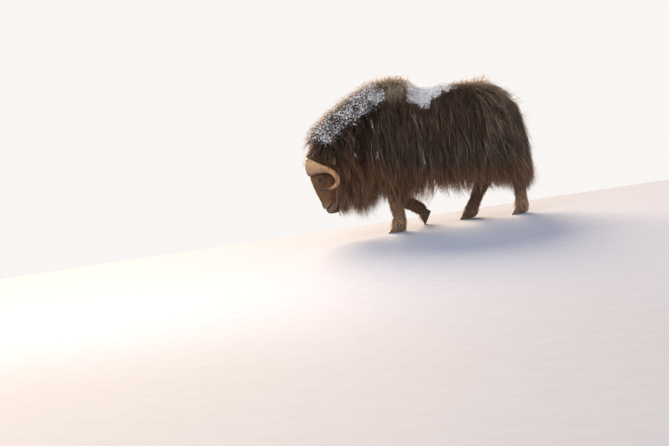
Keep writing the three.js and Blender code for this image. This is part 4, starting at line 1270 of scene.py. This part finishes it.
hairPiece("coatNeck", ground, neckHair, bodyLie,
          lambda p, n: onBody(p) * inMane(p) * high(p, 0.60, 0.66) * (1 + n[:, 2].clip(0, 1)), 101)
hairPiece("coatHump", ground, humpHair, bodyLie,
          lambda p, n: onBody(p) * (1 - inMane(p)) * high(p, 1.05, 1.12) * ahead(p, 0.05, 0.07), 111)
hairPiece("coatSaddle", ground, saddleHair, bodyLie,
          lambda p, n: onBody(p) * behind(p, 0.03, 0.05) * ahead(p, 0.66, 0.70) * high(p, 1.00, 1.08), 121)
for word, side in (("Left", -1), ("Right", 1)):
    hairPiece("coatFlank" + word, ground, flankHair, bodyLie,
              lambda p, n: onBody(p) * onSide(p, side) * (1 - inMane(p)) * ahead(p, 0.58, 0.60)
              * high(p, 0.60, 0.64) * (1 - 0.8 * high(p, 1.05, 1.15)), 131 + side * 3)
    hairPiece("coatRump" + word, ground, rumpHair, bodyLie,
              lambda p, n: onBody(p) * onSide(p, side) * behind(p, 0.56, 0.60) * high(p, 0.50, 0.56),
              151 + side * 3)
    hairPiece("coatSkirt" + word, ground, skirtHair, bodyLie,
              lambda p, n: onBody(p) * onSide(p, side) * behind(p, -0.44, -0.40) * (1 - high(p, 0.70, 0.76))
              * (0.4 + np.abs(n[:, 1]) + n[:, 0].clip(0, 1)), 171 + side * 3)
hairPiece("coatForelock", headGround, foreHair, foreLie, foreWeight, 231)
hairPiece("coatFuzz", ground, fuzzHair, bodyLie,
          lambda p, n: onBody(p) * high(p, 0.30, 0.50)
          * (0.25 + ramp(n[:, 2], 0.2, 0.8) + 1.2 * ramp(n[:, 0], 0.3, 0.8)), 261)
hairPiece("coatWisps", ground, wispHair, bodyLie,
          lambda p, n: onSide(p, -1) * sum(bump(p[:, 0], x, 0.010) * bump(p[:, 2], z, 0.018)
                                           for x, z in wispRows), 241)


# Frost: small crumbs that cling to the tips of the coat
neckFrost = {"count": 6200, "size": 0.0027, "layer": (0.80, 1.22)}
saddleFrost = {"count": 6000, "size": 0.0040, "layer": (0.60, 0.98)}
crumbLook = {"least": 0.0012, "most": 0.0070, "uneven": 0.50, "loose": 0.004}
crumbPoints = np.array([[1, 0, 0], [0, 1, 0], [-1, 0, 0], [0, -1, 0], [0, 0, 1], [0, 0, -1]], float)
crumbFaces = np.array([[i, (i + 1) % 4, 4] for i in range(4)] + [[(i + 1) % 4, i, 5] for i in range(4)])


def frostMaterial():
    material, tree = newMaterial("frost")
    grain = noise(tree, placeOf(tree), 240, 3, 0.6)
    colour = blend(tree, grain, linear(224, 230, 242), linear(252, 252, 255))
    shaded(tree, colour, ranged(tree, grain, 0.3, 0.7, (0.75, 0.55)), bumped(tree, grain, 0.6, 0.0015))
    return material


icy = frostMaterial()


def frostPiece(name, look, weight, seed):
    rng = np.random.default_rng(seed)
    count, lift = look["count"], coatLift(1.0)
    chances = chancesOn(ground, lambda p, n: weight(p + n * lift(p)[:, None]))
    roots, normals = rootsOn(ground, count, chances, seed)
    at = roots + normals * (lift(roots) * rng.uniform(*look["layer"], count))[:, None] \
        + rng.normal(0, crumbLook["loose"], (count, 3))
    size = look["size"] * np.exp(rng.normal(0, crumbLook["uneven"], count))
    size = np.clip(size, crumbLook["least"], crumbLook["most"])
    points = crumbPoints[None] * rng.uniform(0.6, 1.4, (count, 6, 1)) * size[:, None, None] \
        * rng.uniform(0.5, 1.4, (count, 1, 3))
    turn, tip = rng.uniform(0, 2 * math.pi, (2, count, 1))
    x, y, z = np.moveaxis(points, 2, 0)
    x, y = x * np.cos(turn) - y * np.sin(turn), x * np.sin(turn) + y * np.cos(turn)
    y, z = y * np.cos(tip) - z * np.sin(tip), y * np.sin(tip) + z * np.cos(tip)
    verts = keptIn(at[:, None] + np.stack([x, y, z], 2)).reshape(-1, 3)
    faces = (crumbFaces[None] + np.arange(count)[:, None, None] * 6).reshape(-1, 3)
    mesh = coatMesh(name, verts, faces, mapAt(roots, crumbPoints[:, :2] * 0.5 + 0.5), icy)
    mesh.shade_flat()


frostPiece("frostNeck", neckFrost,
           lambda p: marksAt(p)["frost"] ** 3 * ramp(-p[:, 0], 0.16, 0.20) * onBody(p), 251)
frostPiece("frostSaddle", saddleFrost,
           lambda p: ramp(marksAt(p)["frost"], 0.2, 1.0) * behind(p, -0.08, -0.04), 252)
hairPiece("coatThroat", headGround, throatHair, bodyLie, throatWeight, 191)
hairPiece("coatTail", ground, tailHair,
          lambda p, n: unit(columns(p, 0.15, 0.0, -1.0)), lambda p, n: onTail(p), 201)


def faceLie(p, n):  # back from the nose and down over the cheeks, and out along the ears
    side = signOf(p[:, 1])
    back = behind(p, -0.90, -0.74)
    face = columns(p, mix(0.25, 0.75, back), 0.45 * side * (1 - back), mix(0.8, -0.75, back))
    return unit(mix(face, columns(p, 0.35, 0.8 * side, -0.55), onEar(p)[:, None]))


def faceLength(p):
    low, cheek = ramp(-p[:, 2], -0.42, -0.30), behind(p, -0.86, -0.72)
    return mix(mix(mix(0.036, 0.085, cheek), mix(0.015, 0.032, cheek), low), 0.055, onEar(p))


def faceWeight(p, n):
    face = inHead(p) * (1 - bareAt(p)) ** 2 * (1 + 1.2 * ramp(-p[:, 2], -0.45, -0.3))
    return face * (1 - 0.8 * high(p, 0.74, 0.78) * (1 - onEar(p))) * (1 + 5 * onEar(p)) * clearOfHorns(p)


faceHair = {
    "count": 18000, "points": 3, "steps": 3, "perLock": 4, "lift": lambda p: 0.09 * faceLength(p) + 0.0015,
    "length": faceLength, "sink": 0.0015, "clump": 0.35, "wave": 0.001, "wide": 0.0020, "rise": 1.4,
    "curl": 0.20, "wander": 0.25, "stray": 0.0020, "layer": (0.2, 1.2), "spread": (5, 1.4), "free": -2}
hairPiece("coatFace", headGround, faceHair, faceLie, faceWeight, 211, "face")


def atFetlock(p):
    return 1 - high(p, 0.10, 0.17)


def legLie(p, n):  # down, and spreading out over the claws
    spread = 0.75 * atFetlock(p)
    return unit(columns(p, 0.18 + spread * n[:, 0], spread * n[:, 1], -1.0))


legHair = {
    "count": 7400, "points": 4, "steps": 4, "perLock": 5,
    "lift": lambda p: mix(0.014, 0.020, high(p, 0.18, 0.4)) + 0.010 * atFetlock(p),
    "length": lambda p: mix(0.050, 0.085, high(p, 0.15, 0.42)) + 0.075 * atFetlock(p), "sink": 0.003,
    "clump": 0.45, "wave": 0.001, "wide": 0.0036, "rise": 1.2, "curl": 0.15, "wander": 0.15, "stray": 0.003,
    "layer": (0.3, 1.3), "free": -2, "lowest": 0.006}
hairPiece("coatLegs", legGround, legHair, legLie,
          lambda p, n: (1 - inHead(p)) * (1 - high(p, 0.46, 0.50)) * (n[:, 2] > -0.9)
          * (1 + 2.4 * atFetlock(p)), 221, "leg")


# The studio: a pale floor, a bright soft room with one key light, and a low warm sun behind the animal
print("studio")
studio = {"room": (0.945, 0.920, 0.900, 1.0), "roomLight": 1.0, "key": 190.0, "keyAt": (-3.0, -5.0, 4.5),
          "keySize": 4.0, "keyColour": (1.0, 0.97, 0.93), "sun": 10.5, "sunWide": 24.0, "sunRise": 13.0,
          "sunColour": (1.0, 0.78, 0.54), "floorWide": 18.0, "floorNear": -24.0, "floorFar": 1.25}


def addFloor():
    wide, near, far = studio["floorWide"], studio["floorNear"], studio["floorFar"]
    corners = np.array([[-wide, near, 0], [wide, near, 0], [wide, far, 0], [-wide, far, 0]])
    floor = addMesh("floor", corners - shift, [[0, 1, 2, 3]])
    material, tree = newMaterial("floor")
    where = placeOf(tree)
    colour = blend(tree, noise(tree, where, 5, 4), linear(126, 134, 156), linear(138, 146, 167))
    shaded(tree, colour, 0.9, bumped(tree, noise(tree, where, 60, 3), 0.15, 0.002), {"Specular IOR Level": 0.2})
    floor.data.materials.append(material)


def addLight(name, kind, place, aim, energy, colour):
    light = bpy.data.objects.new(name, bpy.data.lights.new(name, kind))
    light.data.energy, light.data.color = energy, colour
    light.location = place
    light.rotation_euler = (Vector(aim) - Vector(place)).to_track_quat("-Z", "Y").to_euler()
    bpy.context.collection.objects.link(light)
    return light.data


addFloor()
key = addLight("key", "AREA", studio["keyAt"], (0, 0, 0.7), studio["key"], studio["keyColour"])
key.size = studio["keySize"]
sunAt = (-1.0, 6.0, 6.0 * math.tan(math.radians(studio["sunRise"])))
sun = addLight("sun", "SUN", sunAt, (0, 0, 0), studio["sun"], studio["sunColour"])
sun.angle = math.radians(studio["sunWide"])
world = bpy.data.worlds.new("room")
world.use_nodes = True
background = world.node_tree.nodes["Background"].inputs
background["Color"].default_value = studio["room"]
background["Strength"].default_value = studio["roomLight"]
bpy.context.scene.world = world
bpy.context.scene.view_settings.view_transform = "Standard"
